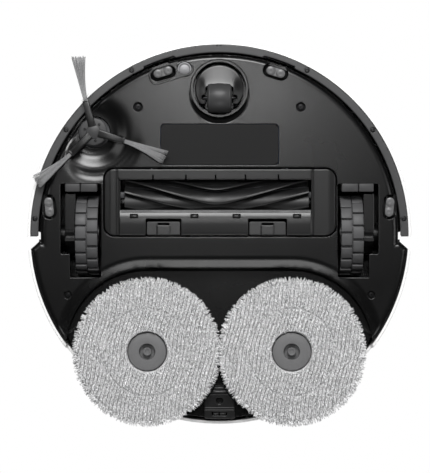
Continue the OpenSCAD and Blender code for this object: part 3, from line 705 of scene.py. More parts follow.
def screw_head(x, y, z, r):
    """Pan head seen from below, with a cross-shaped drive pressed into it."""
    steps = 48
    verts, faces = [], []
    rings = [(1.0, 0.35), (0.97, 0.12), (0.85, 0.02), (0.62, 0), (0.5, 0), (0.36, 0), (0.2, 0), (0.0, 0)]
    for ratio, lift in rings:
        for i in range(steps):
            a = 2 * math.pi * i / steps
            px, py = ratio * r * math.cos(a), ratio * r * math.sin(a)
            cross = min(abs(px), abs(py)) < 0.14 * r and math.hypot(px, py) < 0.55 * r
            verts.append((x + px, y + py, z + lift * r + (0.3 * r if cross else 0)))
    for k in range(len(rings) - 1):
        for i in range(steps):
            j = (i + 1) % steps
            faces.append((k * steps + i, (k + 1) * steps + i, (k + 1) * steps + j, k * steps + j))
    return verts, faces


def case_screws():
    """(x, y, height of the face round it, pocket radius) of every screw that holds the case."""
    places = [(*screw, CHASSIS_Z) for screw in FLOOR_SCREWS] + [(*ROOF_SCREW, CHASSIS_Z + RECESS_RISE)]
    return [(side * x, y, z, r) for side in SIDES for x, y, r, z in places]


def make_screws():
    heads = []
    for x, y, z, r in case_screws():
        heads.append(screw_head(x, y, z + 2.2, 0.66 * r))
        heads.append(lathe([(1.4, 1.5), (1.4, 6)], (x, y, z + 1.7), 16))
    place("case_screws", join_meshes(heads), "body", "steel", ["chassis_screws"], sharp=40)
    heads = [screw_head(x, y, RAIL_LOW[2] + 0.35, 2.2) for x, y in rail_screws()]
    place("rail_screws", join_meshes(heads), "bumper", "steel", ["bumper_screws"], sharp=40)


# ---------------------------------------------------------------- bumper and rear wall

def rail_screws():
    reach = BODY_R - 6.5
    angles = [math.radians(a) for a in (28.3, 56, 85.5)]
    return [(side * reach * math.sin(a), -reach * math.cos(a)) for side in SIDES for a in angles]


def make_rail():
    inner, outer, end_y = NOTCH_X, REAR_R, RAIL_HIGH[1]

    def ring(x, y):
        r = np.hypot(x, y)
        # Beside each front cliff sensor the inner edge steps back
        turn = np.degrees(np.arctan2(np.abs(x), -y))
        step_back = 1.9 * smooth_clamp((5.4 - np.abs(turn - 19.3)) / 0.3, 0.3)
        return np.minimum(np.minimum(outer - r, r - inner - step_back), end_y - y)

    edges = [(ring, 0.8, 1.6)] + [(hole_circle(x, y, 2.6), 0.25, 1.0) for x, y in rail_screws()]
    extent = (-outer - 1, outer + 1, -outer - 1, end_y + 1)
    parts = [plate_mesh(extent, by_mode(0.7), edges, level(RAIL_LOW[2]))]
    parts += [lathe([(0, 0), (2.9, 0)], (x, y, RAIL_LOW[2] + 0.95), 24) for x, y in rail_screws()]
    place("rail_skin", join_meshes(parts), "bumper", "rail_grey", ["bumper_rail"])


def sweep_wall(name, body, slot, nodes, ends, profile_at, steps):
    """Sweeps a closed (r, z) profile round the Z axis, between end angles that depend on the radius."""
    rings = []
    for i in range(steps + 1):
        t = i / steps
        ring = []
        for r, z in profile_at(t):
            start, stop = ends(r)
            a = start + (stop - start) * t
            ring.append((r * math.cos(a), r * math.sin(a), z))
        rings.append(ring)
    place(name, loft(rings), body, slot, nodes, sharp=40, closed=True)


def recessed(inner, outer, low, high, sunk, sunk_low, sunk_high):
    """Wall profile whose outer face has a flat recess of depth sunk."""
    return [(inner, low), (outer - 0.9, low), (outer, low + 0.9), (outer, sunk_low - 0.3),
            (outer - sunk, sunk_low), (outer - sunk, sunk_high), (outer, sunk_high + 0.3),
            (outer, high - 1.0), (outer - 0.3, high - 0.3), (outer - 1.0, high), (inner, high)]


def make_bumper_shell():
    inner, outer = BODY_R - 2.6, BODY_R
    low, high = SHELL_LOW[2], SHELL_HIGH[2]
    window_low, window_high = box_mm("bumper_window")
    start = math.pi - math.asin(SHELL_HIGH[1] / BODY_R)
    stop = 2 * math.pi + math.asin(SHELL_HIGH[1] / BODY_R)
    half = math.radians(24)

    def profile_at(t):
        a = start + (stop - start) * t
        sunk = 1.2 if abs(a - 1.5 * math.pi) < half else 0.0
        return recessed(inner, outer, low, high, sunk, window_low[2] - 0.3, window_high[2] + 0.3)

    sweep_wall("bumper_skin", "bumper", "white_shell", ["bumper_shell"], lambda r: (start, stop),
               profile_at, 360)
    ring = round_profile(rect(outer - 1.15, outer - 0.1, window_low[2], window_high[2]), 0.35)
    mesh = lathe(ring, (0, 0, 0), 96, closed=True, arc=(270 - 23.8, 270 + 23.8))
    place("front_window", mesh, "bumper", "sensor_dark", ["bumper_window"], sharp=40, closed=True)


def notch_angle(r):
    """Angle at which the slanted end of the rear wall meets radius r."""
    low, high = 0.0, 0.3
    for _ in range(40):
        mid = (low + high) / 2
        if r * math.sin(mid) < NOTCH_Y + NOTCH_SLOPE * (r * math.cos(mid) - NOTCH_X):
            low = mid
        else:
            high = mid
    return high


def make_rear_shell():
    inner, outer = BODY_R - 2.6, BODY_R
    low, high = box_mm("rear_shell")
    contact_low, contact_high = box_mm("charge_contacts")

    def ends(r):
        a = notch_angle(r)
        return a, math.pi - a

    def profile_at(t):
        start, stop = ends(outer)
        a = start + (stop - start) * t
        x, y = outer * math.cos(a), outer * math.sin(a)
        depth = float(recess_depth(np.array(x), np.array(y)))
        ramp = RAMP_RISE * np.clip(depth / RAMP_WIDTH, 0, 1)
        wall = (RECESS_RISE - RAMP_RISE) * np.clip(depth - RAMP_WIDTH, 0, 1)
        bottom = max(low[2], CHASSIS_Z + float(ramp + wall))
        sunk = 1.8 if abs(abs(x) - CONTACT_X) < 5.3 else 0.0
        return recessed(inner, outer, bottom, high[2], sunk, contact_low[2] - 0.3, contact_high[2] + 0.3)

    sweep_wall("rear_wall_skin", "body", "white_shell", ["rear_shell"], ends, profile_at, 480)


def rear_seams():
    """Short lines where the rear corner mouldings meet the floor."""
    strips = []
    for side in SIDES:
        for k in range(2):
            x0, y0, x1, y1 = 146 - 1.4 * k, 95.6 - 2.4 * k, 131 - 1.4 * k, 87.6 - 2.4 * k
            length, turn = math.hypot(x1 - x0, y1 - y0), math.atan2(y1 - y0, x1 - x0)
            verts, faces = block((0, -0.35, -0.35), (length, 0.35, 0.35), 0.2, 2)
            verts = [(side * x, y, float(chassis_height(np.array(x), np.array(y))) + z)
                     for x, y, z in turned(verts, turn, (x0, y0, 0))]
            strips.append((verts, faces if side > 0 else [tuple(reversed(f)) for f in faces]))
    place("corner_ribs", join_meshes(strips), "body", "chassis_black")


# ---------------------------------------------------------------- sensors

def lens_height(x, y):
    """Two glassy bulges side by side under one window."""
    bulge = sum(np.maximum(0, 1 - ((x - off) ** 2 + y ** 2) / 17.0) ** 0.5 for off in (-4.7, 4.7))
    pupil = sum(np.exp(-((x - off) ** 2 + (y - 0.6) ** 2) / 2.2) for off in (-4.7, 4.7))
    return 1.5 - 1.1 * bulge + 0.35 * pupil


def make_sensors():
    lenses, backs = [], []
    outline = inside(slot_hole(0, 0, 8.7, 3.8, 3.7))
    lens = plate_mesh((-10, 10, -5, 5), 0.35, [(outline, 0.3, 1.2)], lens_height)
    back = block((-12, -7, 7), (12, 7, 7.6), 0.2, 1)
    for x, y, turn, _ in CLIFF_SENSORS:
        for out, (verts, faces) in ((lenses, lens), (backs, back)):
            out.append((turned(verts, math.radians(turn), (x, y, CHASSIS_Z)), faces))
    place("cliff_lens_domes", join_meshes(lenses), "body", "sensor_lens", ["cliff_lenses"], sharp=50)
    place("cliff_backs", join_meshes(backs), "body", "label_film", ["cliff_windows"], sharp=50)
    eye = lathe([(6.6, 6), (6.6, 0.3), (6.2, -0.1), (5.2, -0.1), (4.8, 0.3), (4.7, 0.9), (4.3, 0.7), (0, 0.5)],
                (*CARPET, CHASSIS_Z - 0.1), 48)
    place("carpet_sensor_eye", eye, "body", "sensor_metal", ["carpet_sensor"], sharp=50)


def make_sensor_housing():
    """Raised tray round the front cliff sensor and the carpet sensor, with a ledge on its rear side."""
    centre, turn = (-43.1, -147.8, 0), math.radians(-17)
    outline = inside(hole_box(-22, 20, -7.0, 8.4, 6.5))
    window = hole_box(-20.2, 3.2, -6.0, 6.4, 6.0)
    eye = hole_circle(12.2, -0.9, 6.9)

    def height(u, v):
        ledge = smooth_clamp((v - 6.4) / 0.8, 0.3) * smooth_clamp((1.5 - u) / 2, 0.3)
        return CHASSIS_Z - 0.3 - 0.6 * ledge
    edges = [(outline, 0.5, 1.5), (window, 0.3, 1.5), (eye, 0.3, 1.5)]
    verts, faces = plate_mesh((-23, 21, -9.4, 9.4), 0.4, edges, height)
    place("sensor_tray", (turned(verts, turn, centre), faces), "body", "module_black", sharp=50)


make_chassis()
make_sensor_housing()
make_tongue()
make_label()
make_screws()
make_rail()
make_bumper_shell()
make_rear_shell()
rear_seams()
make_sensors()


# ---------------------------------------------------------------- brush bay

# Opening over the roller: left, right, front and rear edge
WINDOW = (-90.5, 83.4, -48.7, -21.3)
# Middles of the slots in the front bar and of the clips on the rear bar
COMB = (-60.4, -30.4, -3.5, 23.8, 53.8)
CLIPS = (-77.7, -22.7, 15.6, 70.6)
LATCHES = [(box_mm(n), n) for n in ("right_latch", "left_latch")]

# The rear bar's slope, from the window backward, and its height by summing that slope
BAR_STEP = 0.25
BAR_AT = np.arange(0, 24 + BAR_STEP / 2, BAR_STEP)
BAR_SLOPE = np.interp(BAR_AT, [0, 4.5, 8, 13, 24], [0.33, 0.28, 0.08, -0.01, -0.05])
BAR_RISE = np.concatenate([[0], np.cumsum((BAR_SLOPE[1:] + BAR_SLOPE[:-1]) / 2 * BAR_STEP)])


def bar_profile(s):
    """Height of the bar behind the window: tipped forward at its front edge, level at its rear."""
    return np.interp(s, BAR_AT, BAR_RISE.max() - BAR_RISE)


def guard_height(x, y):
    """Guard face: rounded bars along the window, raised caps at its ends."""
    z = np.full(np.shape(x), GUARD_LOW[2])
    middle = (x > WINDOW[0]) & (x < WINDOW[1])
    rear = bar_profile(y - WINDOW[3]) * (y > WINDOW[3] - 1)
    front = 0.4 * (y < WINDOW[2] + 1)
    left = smooth_clamp((-99.5 - x) / 4, 0.2) * 1.4 + smooth_clamp((-92.2 - x) / 1.5, 0.3) * 0.5 + 0.4
    right = 0.5 + 0.5 * smooth_clamp((x - 100) / 5, 0.3)
    z = z + np.where(middle, rear + front, np.where(x < 0, left, right))
    groove = np.exp(-((x - 85.2) / 0.5) ** 2) + np.exp(-((x + 91.6) / 0.35) ** 2) * (y > -50)
    return z + 0.8 * groove


def make_guard():
    outline = inside(box_hole((BAY[0], BAY[2]), (BAY[1], BAY[3]), -0.9, 9))
    edges = [(outline, 1.2, 5), (hole_box(*WINDOW, 1.2), 0.7, 5)]
    for x in COMB:
        edges.append((slot_hole(x, -49.7, 0.55, 3.7, 0.5), 0.15, 3))
    for (low, high), _ in LATCHES:
        edges.append((hole_box(low[0] - 0.6, high[0] + 0.6, low[1] - 2.4, high[1] + 0.3, 0.8), 0.3, 3))
    for x in CLIPS:
        edges.append((slot_hole(x, -15.6, 3.6, 2.0, 0.6), 0.2, 1.0))
    parts = [plate_mesh(BAY, by_mode(0.5), edges, guard_height)]
    for x in CLIPS:
        parts.append(block((x - 3.7, -17.7, 9.0), (x + 3.7, -13.5, 9.6), 0.1, 1))
        parts.append(block((x - 2.9, -16.4, 8.2), (x + 2.9, -13.9, 9.3), 0.4, 2))
    for (low, high), name in LATCHES:
        # Raised arrow beside each latch, pointing to the middle
        toward, tip = (1, high[0] + 4.3) if name == "right_latch" else (-1, low[0] - 4.3)
        back, z = tip - toward * 2.4, GUARD_LOW[2] + 0.05
        parts.append(wedge([(back, -6.6), (back, -3.2), (tip, -4.9)], z, z + 1))
    place("guard_skin", join_meshes(parts), "guard", "module_black", ["brush_guard"], sharp=50)
    place("guard_lip", lip_bar(), "guard", "caster_grey", sharp=60)


def lip_bar():
    """Light strip along the window's rear edge."""
    y0, x0, x1 = WINDOW[3], WINDOW[0] + 0.5, WINDOW[1] - 0.5
    profile = [(y0 + 0.1, 11), (y0 - 0.25, 10), (y0 - 0.3, 9.5), (y0, 8.75), (y0 + 0.5, 8.5), (y0 + 1.2, 8.25),
               (y0 + 2.0, 8.0), (y0 + 2.5, 7.85), (y0 + 2.7, 8.0), (y0 + 2.7, 11)]
    return loft([[(x, y, z) for y, z in profile] for x in (x1, x0)])


def make_latches():
    for (low, high), name in LATCHES:
        z = GUARD_LOW[2] + 1.3
        middle = (low[0] + high[0]) / 2
        edges = [(inside(box_hole(low, high, -0.1, 1.4)), 0.5, 3),
                 (slot_hole(middle, -8.5, 5.6, 0.9, 0.8), 0.2, 2.2)]

        def height(x, y, middle=middle, z=z):
            tab = smooth_clamp((6.2 - np.abs(x - middle)) / 0.8, 0.3) * smooth_clamp((y + 7.6) / 0.6, 0.3)
            return z - 0.5 * smooth_clamp((y + 11) / 12, 0.1) - 0.6 * tab
        mesh = plate_mesh((low[0], high[0], low[1], high[1]), 0.4, edges, height)
        place(name + "_skin", mesh, name.replace("_latch", "_tab"), "module_black", [name], sharp=50)


def fin_angle(x):
    """Angle of a fin along the roller: both halves lead back to the middle."""
    low, high = box_mm("brush_fins")
    middle, soft = -3.0, 0.13
    reach = np.where(x < middle, middle - low[0], high[0] - middle)
    t = np.abs(x - middle) / reach
    return -math.radians(80) * (np.hypot(t, soft) - soft) / (math.hypot(1, soft) - soft)


def make_roller():
    low, high = box_mm("brush_fins")
    x0, x1 = low[0], high[0]
    axis_y, axis_z = BRUSH[1], BRUSH[2]
    root_r, tip_r = 8.6, (high[2] - low[2]) / 2 - 0.1
    xs = np.linspace(x0, x1, 72)
    lead = fin_angle(xs)
    # Blade section: (radius share, lean in degrees, half thickness)
    section = [(0.0, -12, 3.4), (0.3, -4, 2.3), (0.65, 6, 1.4), (0.93, 18, 0.9), (1.0, 21, 0.5)]
    loop = [(s, 1) for s in section] + [(s, -1) for s in reversed(section)]
    parts = []
    for k in range(8):
        tall = 1.0 if k % 2 == 0 else 0.86
        base = math.radians(45 * k + 8)
        lines = []
        for (share, lean, half), side in loop:
            r = root_r + (tip_r - root_r) * share * tall
            a = base + lead + math.radians(lean) * tall + side * half / r
            lines.append(np.stack([xs, axis_y + r * np.cos(a), axis_z + r * np.sin(a)], axis=1))
        parts.append(loft(np.stack(lines, axis=1).tolist()))
    place("roller_blades", join_meshes(parts), "main_brush", "fin_rubber", ["brush_fins"], sharp=50,
          closed=True)
    profile = [(0, x0), (3.9, x0), (8.8, x0 + 1), (9.0, x0 + 2),
               (9.0, x1 - 2), (8.8, x1 - 1), (3.9, x1), (0, x1)]
    tube = lathe(profile, (0, axis_y, axis_z), 48, axis="x")
    # Square drive ends
    ends = [block((start, axis_y - 3, axis_z - 3), (stop, axis_y + 3, axis_z + 3), 1.4)
            for start, stop in ((-98.5, x0), (x1, 97.5))]
    place("roller_core", join_meshes([tube] + ends), "main_brush", "inner_plastic", ["brush_core"], sharp=40)


# ---------------------------------------------------------------- drive wheels

def tyre_mesh(side):
    """Tyre with two staggered rows of lugs."""
    low, high = box_mm("left_tyre")
    inner, outer = low[0], high[0]
    r = (high[2] - low[2]) / 2
    middle = (inner + outer) / 2
    carcass = round_profile(rect(r - 5.4, r - 3.2, inner + 0.2, outer - 0.2), 1.0)
    parts = [lathe(carcass, (0, WHEEL[1], WHEEL[2]), 108, axis="x", closed=True)]
    lugs = 18
    pitch = 2 * math.pi / lugs
    half = pitch * r * 0.5 - 1.15
    for row in range(2):
        x0, x1 = (inner, middle - 0.35) if row == 0 else (middle + 0.35, outer)
        for i in range(lugs):
            a0 = pitch * (i + row / 2) + 0.12
            verts, faces = block((x0, -half, -1), (x1, half, 3.4), 0.55, 2)
            out = []
            for vx, arc, up in verts:
                # The trailing half of each lug stands a little lower, as on a saw tooth
                rr = r - 3.4 + up - (0.5 * (arc / half) if up > 2 else 0) - 0.05
                a = a0 + arc / r
                out.append((vx, WHEEL[1] + rr * math.sin(a), WHEEL[2] - rr * math.cos(a)))
            parts.append((out, faces))
    verts, faces = join_meshes(parts)
    if side < 0:
        verts = [(-x, y, z) for x, y, z in verts]
    return verts, faces


def make_wheels():
    for side, name in ((1, "left"), (-1, "right")):
        place(name + "_tread", tyre_mesh(side), name + "_wheel", "tyre_rubber", [name + "_tyre"], sharp=50,
              closed=True)
        make_arm_cover(side, name)
    low, high = box_mm("wheel_brackets")
    blocks = []
    for side in SIDES:
        for near, far in ((111.2, 126.4), (126.9, 140.5)):
            x0, x1 = sorted((side * near, side * far))
            verts, faces = block((x0, low[1] + 0.1, low[2] + 0.1), (x1, min(high[1], -37.2), high[2]), 0.9, 3)
            # The rear face leans forward, away from the tyre
            lean = [(x, y - max(0, y + 41) / 3.8 * 0.13 * (z - low[2]), z) for x, y, z in verts]
            blocks.append((lean, faces))
    place("bracket_blocks", join_meshes(blocks), "body", "caster_grey", ["wheel_brackets"], sharp=50)


def make_arm_cover(side, name):
    """Gearbox cover beside the tyre: a long curved face that ends in a rounded lip."""
    x0, x1, chamfer = 131.2, 140.6, 0.3
    z = CHASSIS_Z - 1.2
    # The front lip is thin and the body behind it leans back: both clear the bracket when the wheel drops
    front = [(-35.0, 21.6), (-30.5, 13.5), (-26.7, 6.2), (-26.4, 4.9), (-28, 4.1), (-35.8, 1.1)]
    face = [(-35.8, 0.8), (-30, 0.7), (-10, 0.3), (-3.4, 0.2), (-3.2, 0.9), (-2.8, 0.9), (-2.6, -0.1),
            (-0.5, -0.2), (3.5, 0.6), (6.3, 2.6), (7.2, 6)]
    back = [(7.2, 22), (-35.0, 22)]
    rings = []
    for x, lift in ((x0, chamfer), (x0 + 0.5, 0), (x0 + 1, 0), (x1 - 1, 0), (x1 - 0.5, 0), (x1, chamfer)):
        outline = front + [(y, h + lift) for y, h in face] + back
        rings.append([(side * x, y, z + h) for y, h in outline])
    place(name + "_gear_cover", loft(rings), name + "_arm", "chassis_black", sharp=45, closed=True)


# ---------------------------------------------------------------- caster

def make_caster():
    cx, cy = CASTER[0], CASTER[1]

    def pocket(x, y):
        """Opening for the wheel, arched at the front."""
        arch = np.hypot(x, y - cy + 4 - 25.2) - 25.2
        return np.maximum(np.abs(x) - 12.6, arch)

    def height(x, y):
        """Dome that rises toward the front, with a flat cheek at each side of the wheel."""
        hood = 0.36 * (np.logaddexp(0, (cy - 1 - y) / 2.0) * 2.0)
        cheek = smooth_clamp((np.abs(x) - 14) / 6, 0.3)
        return 7.4 + hood + ((x - cx) / 14.0) ** 2 + 2.0 * cheek * smooth_clamp((y - cy + 12) / 10, 0.3)
    edges = [(inside(hole_circle(cx, cy, 22.2)), 1.5, 20), (pocket, 0.5, 18),
             (lambda x, y: cy + 14.3 - y, 0.6, 18)]
    for side in SIDES:
        # Open end of the axle's bearing
        edges.append((slot_hole(side * 14.2, CASTER_WHEEL[1], 1.9, 2.4, 1.4), 0.4, 9))
    mesh = plate_mesh((cx - 23, cx + 23, cy - 23, cy + 23), 0.5, edges, height)
    stem = lathe([(0, 29), (21, 29), (21, 31), (4, 31), (4, 44), (0, 44)], (cx, cy, 0), 48)
    place("caster_dome", join_meshes([mesh, stem]), "caster_fork", "module_black", ["caster_swivel"], sharp=50)
    half = [(1.6, -11), (11.4, -11), (12.6, -10.3), (13.2, -9.2), (13.3, -8.8), (13.15, -8.4), (13.5, -7.9)]
    profile = half + [(r, -x) for r, x in reversed(half)]
    mesh = lathe(profile, CASTER_WHEEL, 72, axis="x", closed=True)
    place("caster_tyre", mesh, "caster_roller", "caster_grey", ["caster_wheel"], sharp=50, closed=True)


# ---------------------------------------------------------------- side brush

ARM_ANGLES = [math.radians(a) for a in (-104.5, 17.3, 135.6)]
ARM_START, ARM_END, TUFT_END = 4.5, 29.0, 70.8
HUB_AT = (SIDE_HUB[0], SIDE_HUB[1], 0)


def make_side_hub():
    disc = lathe([(3, 14), (3, 9), (12.0, 9), (12.4, 8.4), (12.4, 4.6), (12.1, 4.2), (11.4, 4.0), (6.6, 3.8),
                  (6.3, 3.3), (5.9, 3.1), (0, 3.0)], HUB_AT, 72)
    place("side_brush_disc", disc, "side_brush", "caster_grey", ["side_brush_hub"], sharp=40, closed=True)
    parts = []
    for a in ARM_ANGLES:
        verts, faces = block((ARM_START, -1, 2.7), (ARM_END, 1, 6), 0.5, 3)
        tapered = []
        for x, y, z in verts:
            t = (x - ARM_START) / (ARM_END - ARM_START)
            tapered.append((x, y * (3.6 - 0.9 * t), z + 0.5 * t))
        parts.append((turned(tapered, a, HUB_AT), faces))
        verts, faces = block((ARM_END - 1.6, -3.0, 3.0), (ARM_END + 0.2, 3.0, 6.2), 0.5, 2)
        parts.append((turned(verts, a, HUB_AT), faces))
    place("side_brush_arms", join_meshes(parts), "side_brush", "module_black", sharp=40, closed=True)
    dots = []
    for a in (-165, -51, 78):
        at = turned([(8.3, 0, 3.75)], math.radians(a), HUB_AT)[0]
        dots.append(lathe([(1.1, 0.4), (1.05, -0.35), (0.8, -0.5), (0.5, 0.1), (0, 0.2)], at, 20))
    place("side_brush_rivets", join_meshes(dots), "side_brush", "steel", sharp=40)


def tubes(paths, radii, sides=5):
    """Many thin tubes at once. paths is (count, rings, 3); radii is (count, rings)."""
    count, rings, _ = paths.shape
    along = np.gradient(paths, axis=1)
    along /= np.linalg.norm(along, axis=2, keepdims=True) + 1e-9
    up = np.zeros_like(along)
    up[..., 2] = 1
    across = np.cross(along, up)
    size = np.linalg.norm(across, axis=2, keepdims=True)
    across = np.where(size > 0.05, across / (size + 1e-9), np.array([1.0, 0, 0]))
    third = np.cross(across, along)
    angles = np.linspace(0, 2 * math.pi, sides, endpoint=False)
    ring = (across[:, :, None, :] * np.cos(angles)[None, None, :, None]
            + third[:, :, None, :] * np.sin(angles)[None, None, :, None])
    verts = (paths[:, :, None, :] + ring * radii[:, :, None, None]).reshape(-1, 3)
    start = np.arange(count)[:, None] * rings * sides
    j = np.arange(sides)
    m = (j + 1) % sides
    ring = start[:, :, None] + np.arange(rings - 1)[None, :, None] * sides
    quads = np.stack([ring + j, ring + m, ring + sides + m, ring + sides + j], axis=-1).reshape(-1, 4)
    caps = np.concatenate([start + j[::-1], start + (rings - 1) * sides + j])
    return verts.tolist(), [tuple(f) for f in quads.tolist() + caps.tolist()]


def make_bristles():
    """Tufts that fan out, trail round and droop to the floor."""
    rng = np.random.default_rng(11)
    count, rings = 70, 9
    t = np.linspace(0, 1, rings)
    parts = []
    for a in ARM_ANGLES:
        spread = np.sort(rng.uniform(-1, 1, count))
        layer = rng.uniform(-1, 1, count)
        end = TUFT_END - rng.uniform(0, 2.2, count) - 2.4 * (spread + 1) / 2
        x = ARM_END - 1 + (end - ARM_END + 1)[:, None] * t[None, :]
        fan = 1.5 + 4.6 * t ** 1.5
        y = spread[:, None] * fan[None, :] + (3.6 * t ** 1.7)[None, :]
        y = y + (rng.normal(0, 0.32, count)[:, None] * t[None, :] ** 2)
        z = 4.6 - 3.3 * t[None, :] ** 1.4 + layer[:, None] * (0.75 - 0.3 * t)[None, :]
        z = np.maximum(z, 0.35)
        paths = np.stack([x, y, z], axis=2)
        radii = np.broadcast_to(0.36 - 0.14 * t, (count, rings)).copy()
        verts, faces = tubes(paths, radii, 4)
        parts.append((turned(verts, a, HUB_AT), faces))
    place("side_brush_tufts", join_meshes(parts), "side_brush", "bristle_grey", ["side_brush_bristles"])


# ---------------------------------------------------------------- mops

MOP_HUB_R, MOP_BASE_R, MOP_TOP = 17.9, MOP_R - 1.2, MOP_HIGH[2]
YARN_RINGS = 5


def yarn(x, y, z, radius, shares):
    """Strands of yarn. x, y and z have one row a strand; shares is each ring's part of the strand's radius."""
    return tubes(np.stack([x, y, z], axis=2), radius[:, None] * np.array(shares)[None, :], 5)


def mop_loops(rng, cx, cy):
    """Paired rows of yarn loops that lean a little off the direction of travel."""
    lean = math.radians(12)
    row = np.array([math.sin(lean), -math.cos(lean)])
    across = np.array([row[1], -row[0]])
    pitch, gap = 3.4, by_mode(0.9)
    along_rows, over_rows = [np.arange(-MOP_BASE_R, MOP_BASE_R, step) for step in (gap, pitch)]
    u, v, strand = np.meshgrid(along_rows, over_rows, [-1, 1], indexing="ij")
    u, v, strand = u.ravel(), v.ravel(), strand.ravel()
    v = v + 0.66 * strand
    u = u + rng.uniform(-0.5, 0.5, u.size) * gap
    drift = 0.9 * np.sin(u * 0.11 + v * 0.05) + rng.normal(0, 0.13, u.size)
    px = u * row[0] + (v + drift) * across[0]
    py = u * row[1] + (v + drift) * across[1]
    d = np.hypot(px, py)
    # The yarn leaves the hub, the hem and a stitched ring free
    keep = (d > MOP_HUB_R + 1.2) & (d < MOP_BASE_R - 0.4) & (np.abs(d - 39.5) > 0.6)
    px, py, d, strand = px[keep], py[keep], d[keep], strand[keep]
    count = px.size
    swing = strand * rng.uniform(0.3, 0.8, count) + rng.normal(0, 0.15, count)
    heading = math.atan2(row[1], row[0]) + swing + rng.choice([0, math.pi], count)
    length = rng.uniform(1.7, 2.9, count)
    t = np.linspace(-0.5, 0.5, YARN_RINGS)
    curl = rng.normal(0, 0.5, count)
    along, aside = length[:, None] * t, curl[:, None] * (t * 2) ** 2
    c, s = np.cos(heading)[:, None], np.sin(heading)[:, None]
    x = cx + px[:, None] + c * along - s * aside
    y = cy + py[:, None] + s * along + c * aside
    rim = np.clip((d - MOP_BASE_R + 5) / 5, 0, 1)
    low = rng.uniform(0.5, 1.7, count) + 1.2 * rim ** 2
    z = low[:, None] + 1.5 * (t * 2) ** 2
    return yarn(x, y, z, rng.uniform(0.36, 0.58, count), [0.45, 0.95, 1.0, 0.95, 0.4])


def mop_fringe(rng, cx, cy, side):
    """Fringe round the edge, pointing out and curling down."""
    count = by_mode(1500)
    a = np.sort(rng.uniform(0, 2 * math.pi, count))
    level_z = rng.uniform(1.6, MOP_TOP - 1.2, count)
    reach = rng.uniform(1.8, 5.0, count)
    turn = a + rng.normal(0, 0.4, count)
    s = np.linspace(0, 1, YARN_RINGS)
    start = MOP_BASE_R - 1.4
    x = cx + (start * np.cos(a))[:, None] + (reach * np.cos(turn))[:, None] * s * 1.15
    y = cy + (start * np.sin(a))[:, None] + (reach * np.sin(turn))[:, None] * s * 1.15
    # The two fringes press against each other between the pads
    away = np.hypot(x - cx, y - cy)
    toward = -side * (x - cx) / away
    limit = np.minimum(MOP_R + 3.2, (MOP[0] - 0.2) / np.maximum(toward, 0.9))
    pull = np.minimum(1, limit / away)
    x, y = cx + (x - cx) * pull, cy + (y - cy) * pull
    z = np.maximum(level_z[:, None] - 1.2 * s ** 2, 0.7)
    return yarn(x, y, z, rng.uniform(0.45, 0.7, count), [0.9, 1.0, 1.0, 0.9, 0.5])


def mop_collar(rng, cx, cy):
    """Loops round the hub's hole."""
    count = by_mode(170)
    a = np.linspace(0, 2 * math.pi, count, endpoint=False) + rng.uniform(-0.01, 0.01, count)
    s = np.linspace(0, 1, YARN_RINGS)
    reach = (MOP_HUB_R + 0.7 + 2.4 * s)[None, :]
    x = cx + reach * np.cos(a[:, None] + 0.06 * s)
    y = cy + reach * np.sin(a[:, None] + 0.06 * s)
    z = 2.9 - 0.7 * np.sin(s * math.pi)[None, :] + rng.uniform(-0.3, 0.6, count)[:, None]
    return yarn(x, y, z, np.full(count, 0.5), [0.6, 1, 1, 1, 0.6])


def make_mop(side, name):
    rng = np.random.default_rng(31 + side)
    cx, cy = side * MOP[0], MOP[1]
    crown = round_profile(rect(MOP_HUB_R + 0.2, MOP_BASE_R - 1, 3.2, MOP_TOP - 0.1), 2.6)
    parts = [lathe(crown, (cx, cy, 0), 120, closed=True), mop_loops(rng, cx, cy), mop_fringe(rng, cx, cy, side),
             mop_collar(rng, cx, cy)]
    piece = place(name + "_mop_cloth", join_meshes(parts), name + "_mop", "mop_fabric", [name + "_mop_pad"])
    make_mop_hub(cx, cy, name)


def make_mop_hub(cx, cy, name):
    """Mounting plate: a hub that shows through the pad, with a groove round its middle."""
    shaft_top = box_mm("left_mop_plate")[1][2]
    profile = [(0, 4.9), (1.6, 4.75), (2.2, 4.1), (3.2, 4.0), (3.75, 4.5), (4.0, 9.4), (6.8, 9.4), (7.1, 5.2),
               (7.5, 4.05), (8.2, 4.0), (16.6, 4.15), (17.2, 4.5), (17.4, 5.2), (17.4, 9.6), (54.6, 9.8),
                (55, 10.2),
               (55, 12.3), (54.5, 12.7), (12, 12.7), (12, 14.9), (5, 15), (5, shaft_top), (0, shaft_top)]
    place(name + "_mop_hub", lathe(profile, (cx, cy, 0), 120), name + "_mop", "hub_grey",
                  [name + "_mop_plate"], sharp=40, closed=True)


make_guard()
make_latches()
make_roller()
make_wheels()
make_caster()
make_side_hub()
make_bristles()
make_mop(1, "left")
make_mop(-1, "right")


# ---------------------------------------------------------------- top cover

KEYS = {"power_key": "power_button", "home_key": "home_button"}
TURRET_LOW, TURRET_HIGH = box_mm("lidar_cage")
CAP_LOW, CAP_HIGH = box_mm("lidar_cap")
TOP_FRONT_R = -box_mm("top_shell")[0][1]
TOP_EXTENT = (-BODY_R, BODY_R, -BODY_R, BODY_R)
TURRET_AT = (TURRET[0], TURRET[1], 0)


def top_outline(x, y):
    """Distance inside the top cover, which has a corner cut out over each side notch."""
    shape = body_outline(TOP_FRONT_R, BODY_R - 2.2, NOTCH_X)(x, y)
    slant = (NOTCH_Y + NOTCH_SLOPE * (np.abs(x) - NOTCH_X) - y) / math.hypot(1, NOTCH_SLOPE)
    notch = np.minimum(np.minimum(np.abs(x) - NOTCH_X, y + 1.2), slant)
    return np.minimum(shape, -notch)


def key_centre(node):
    low, high = box_mm(node)
    return (low[0] + high[0]) / 2, (low[1] + high[1]) / 2


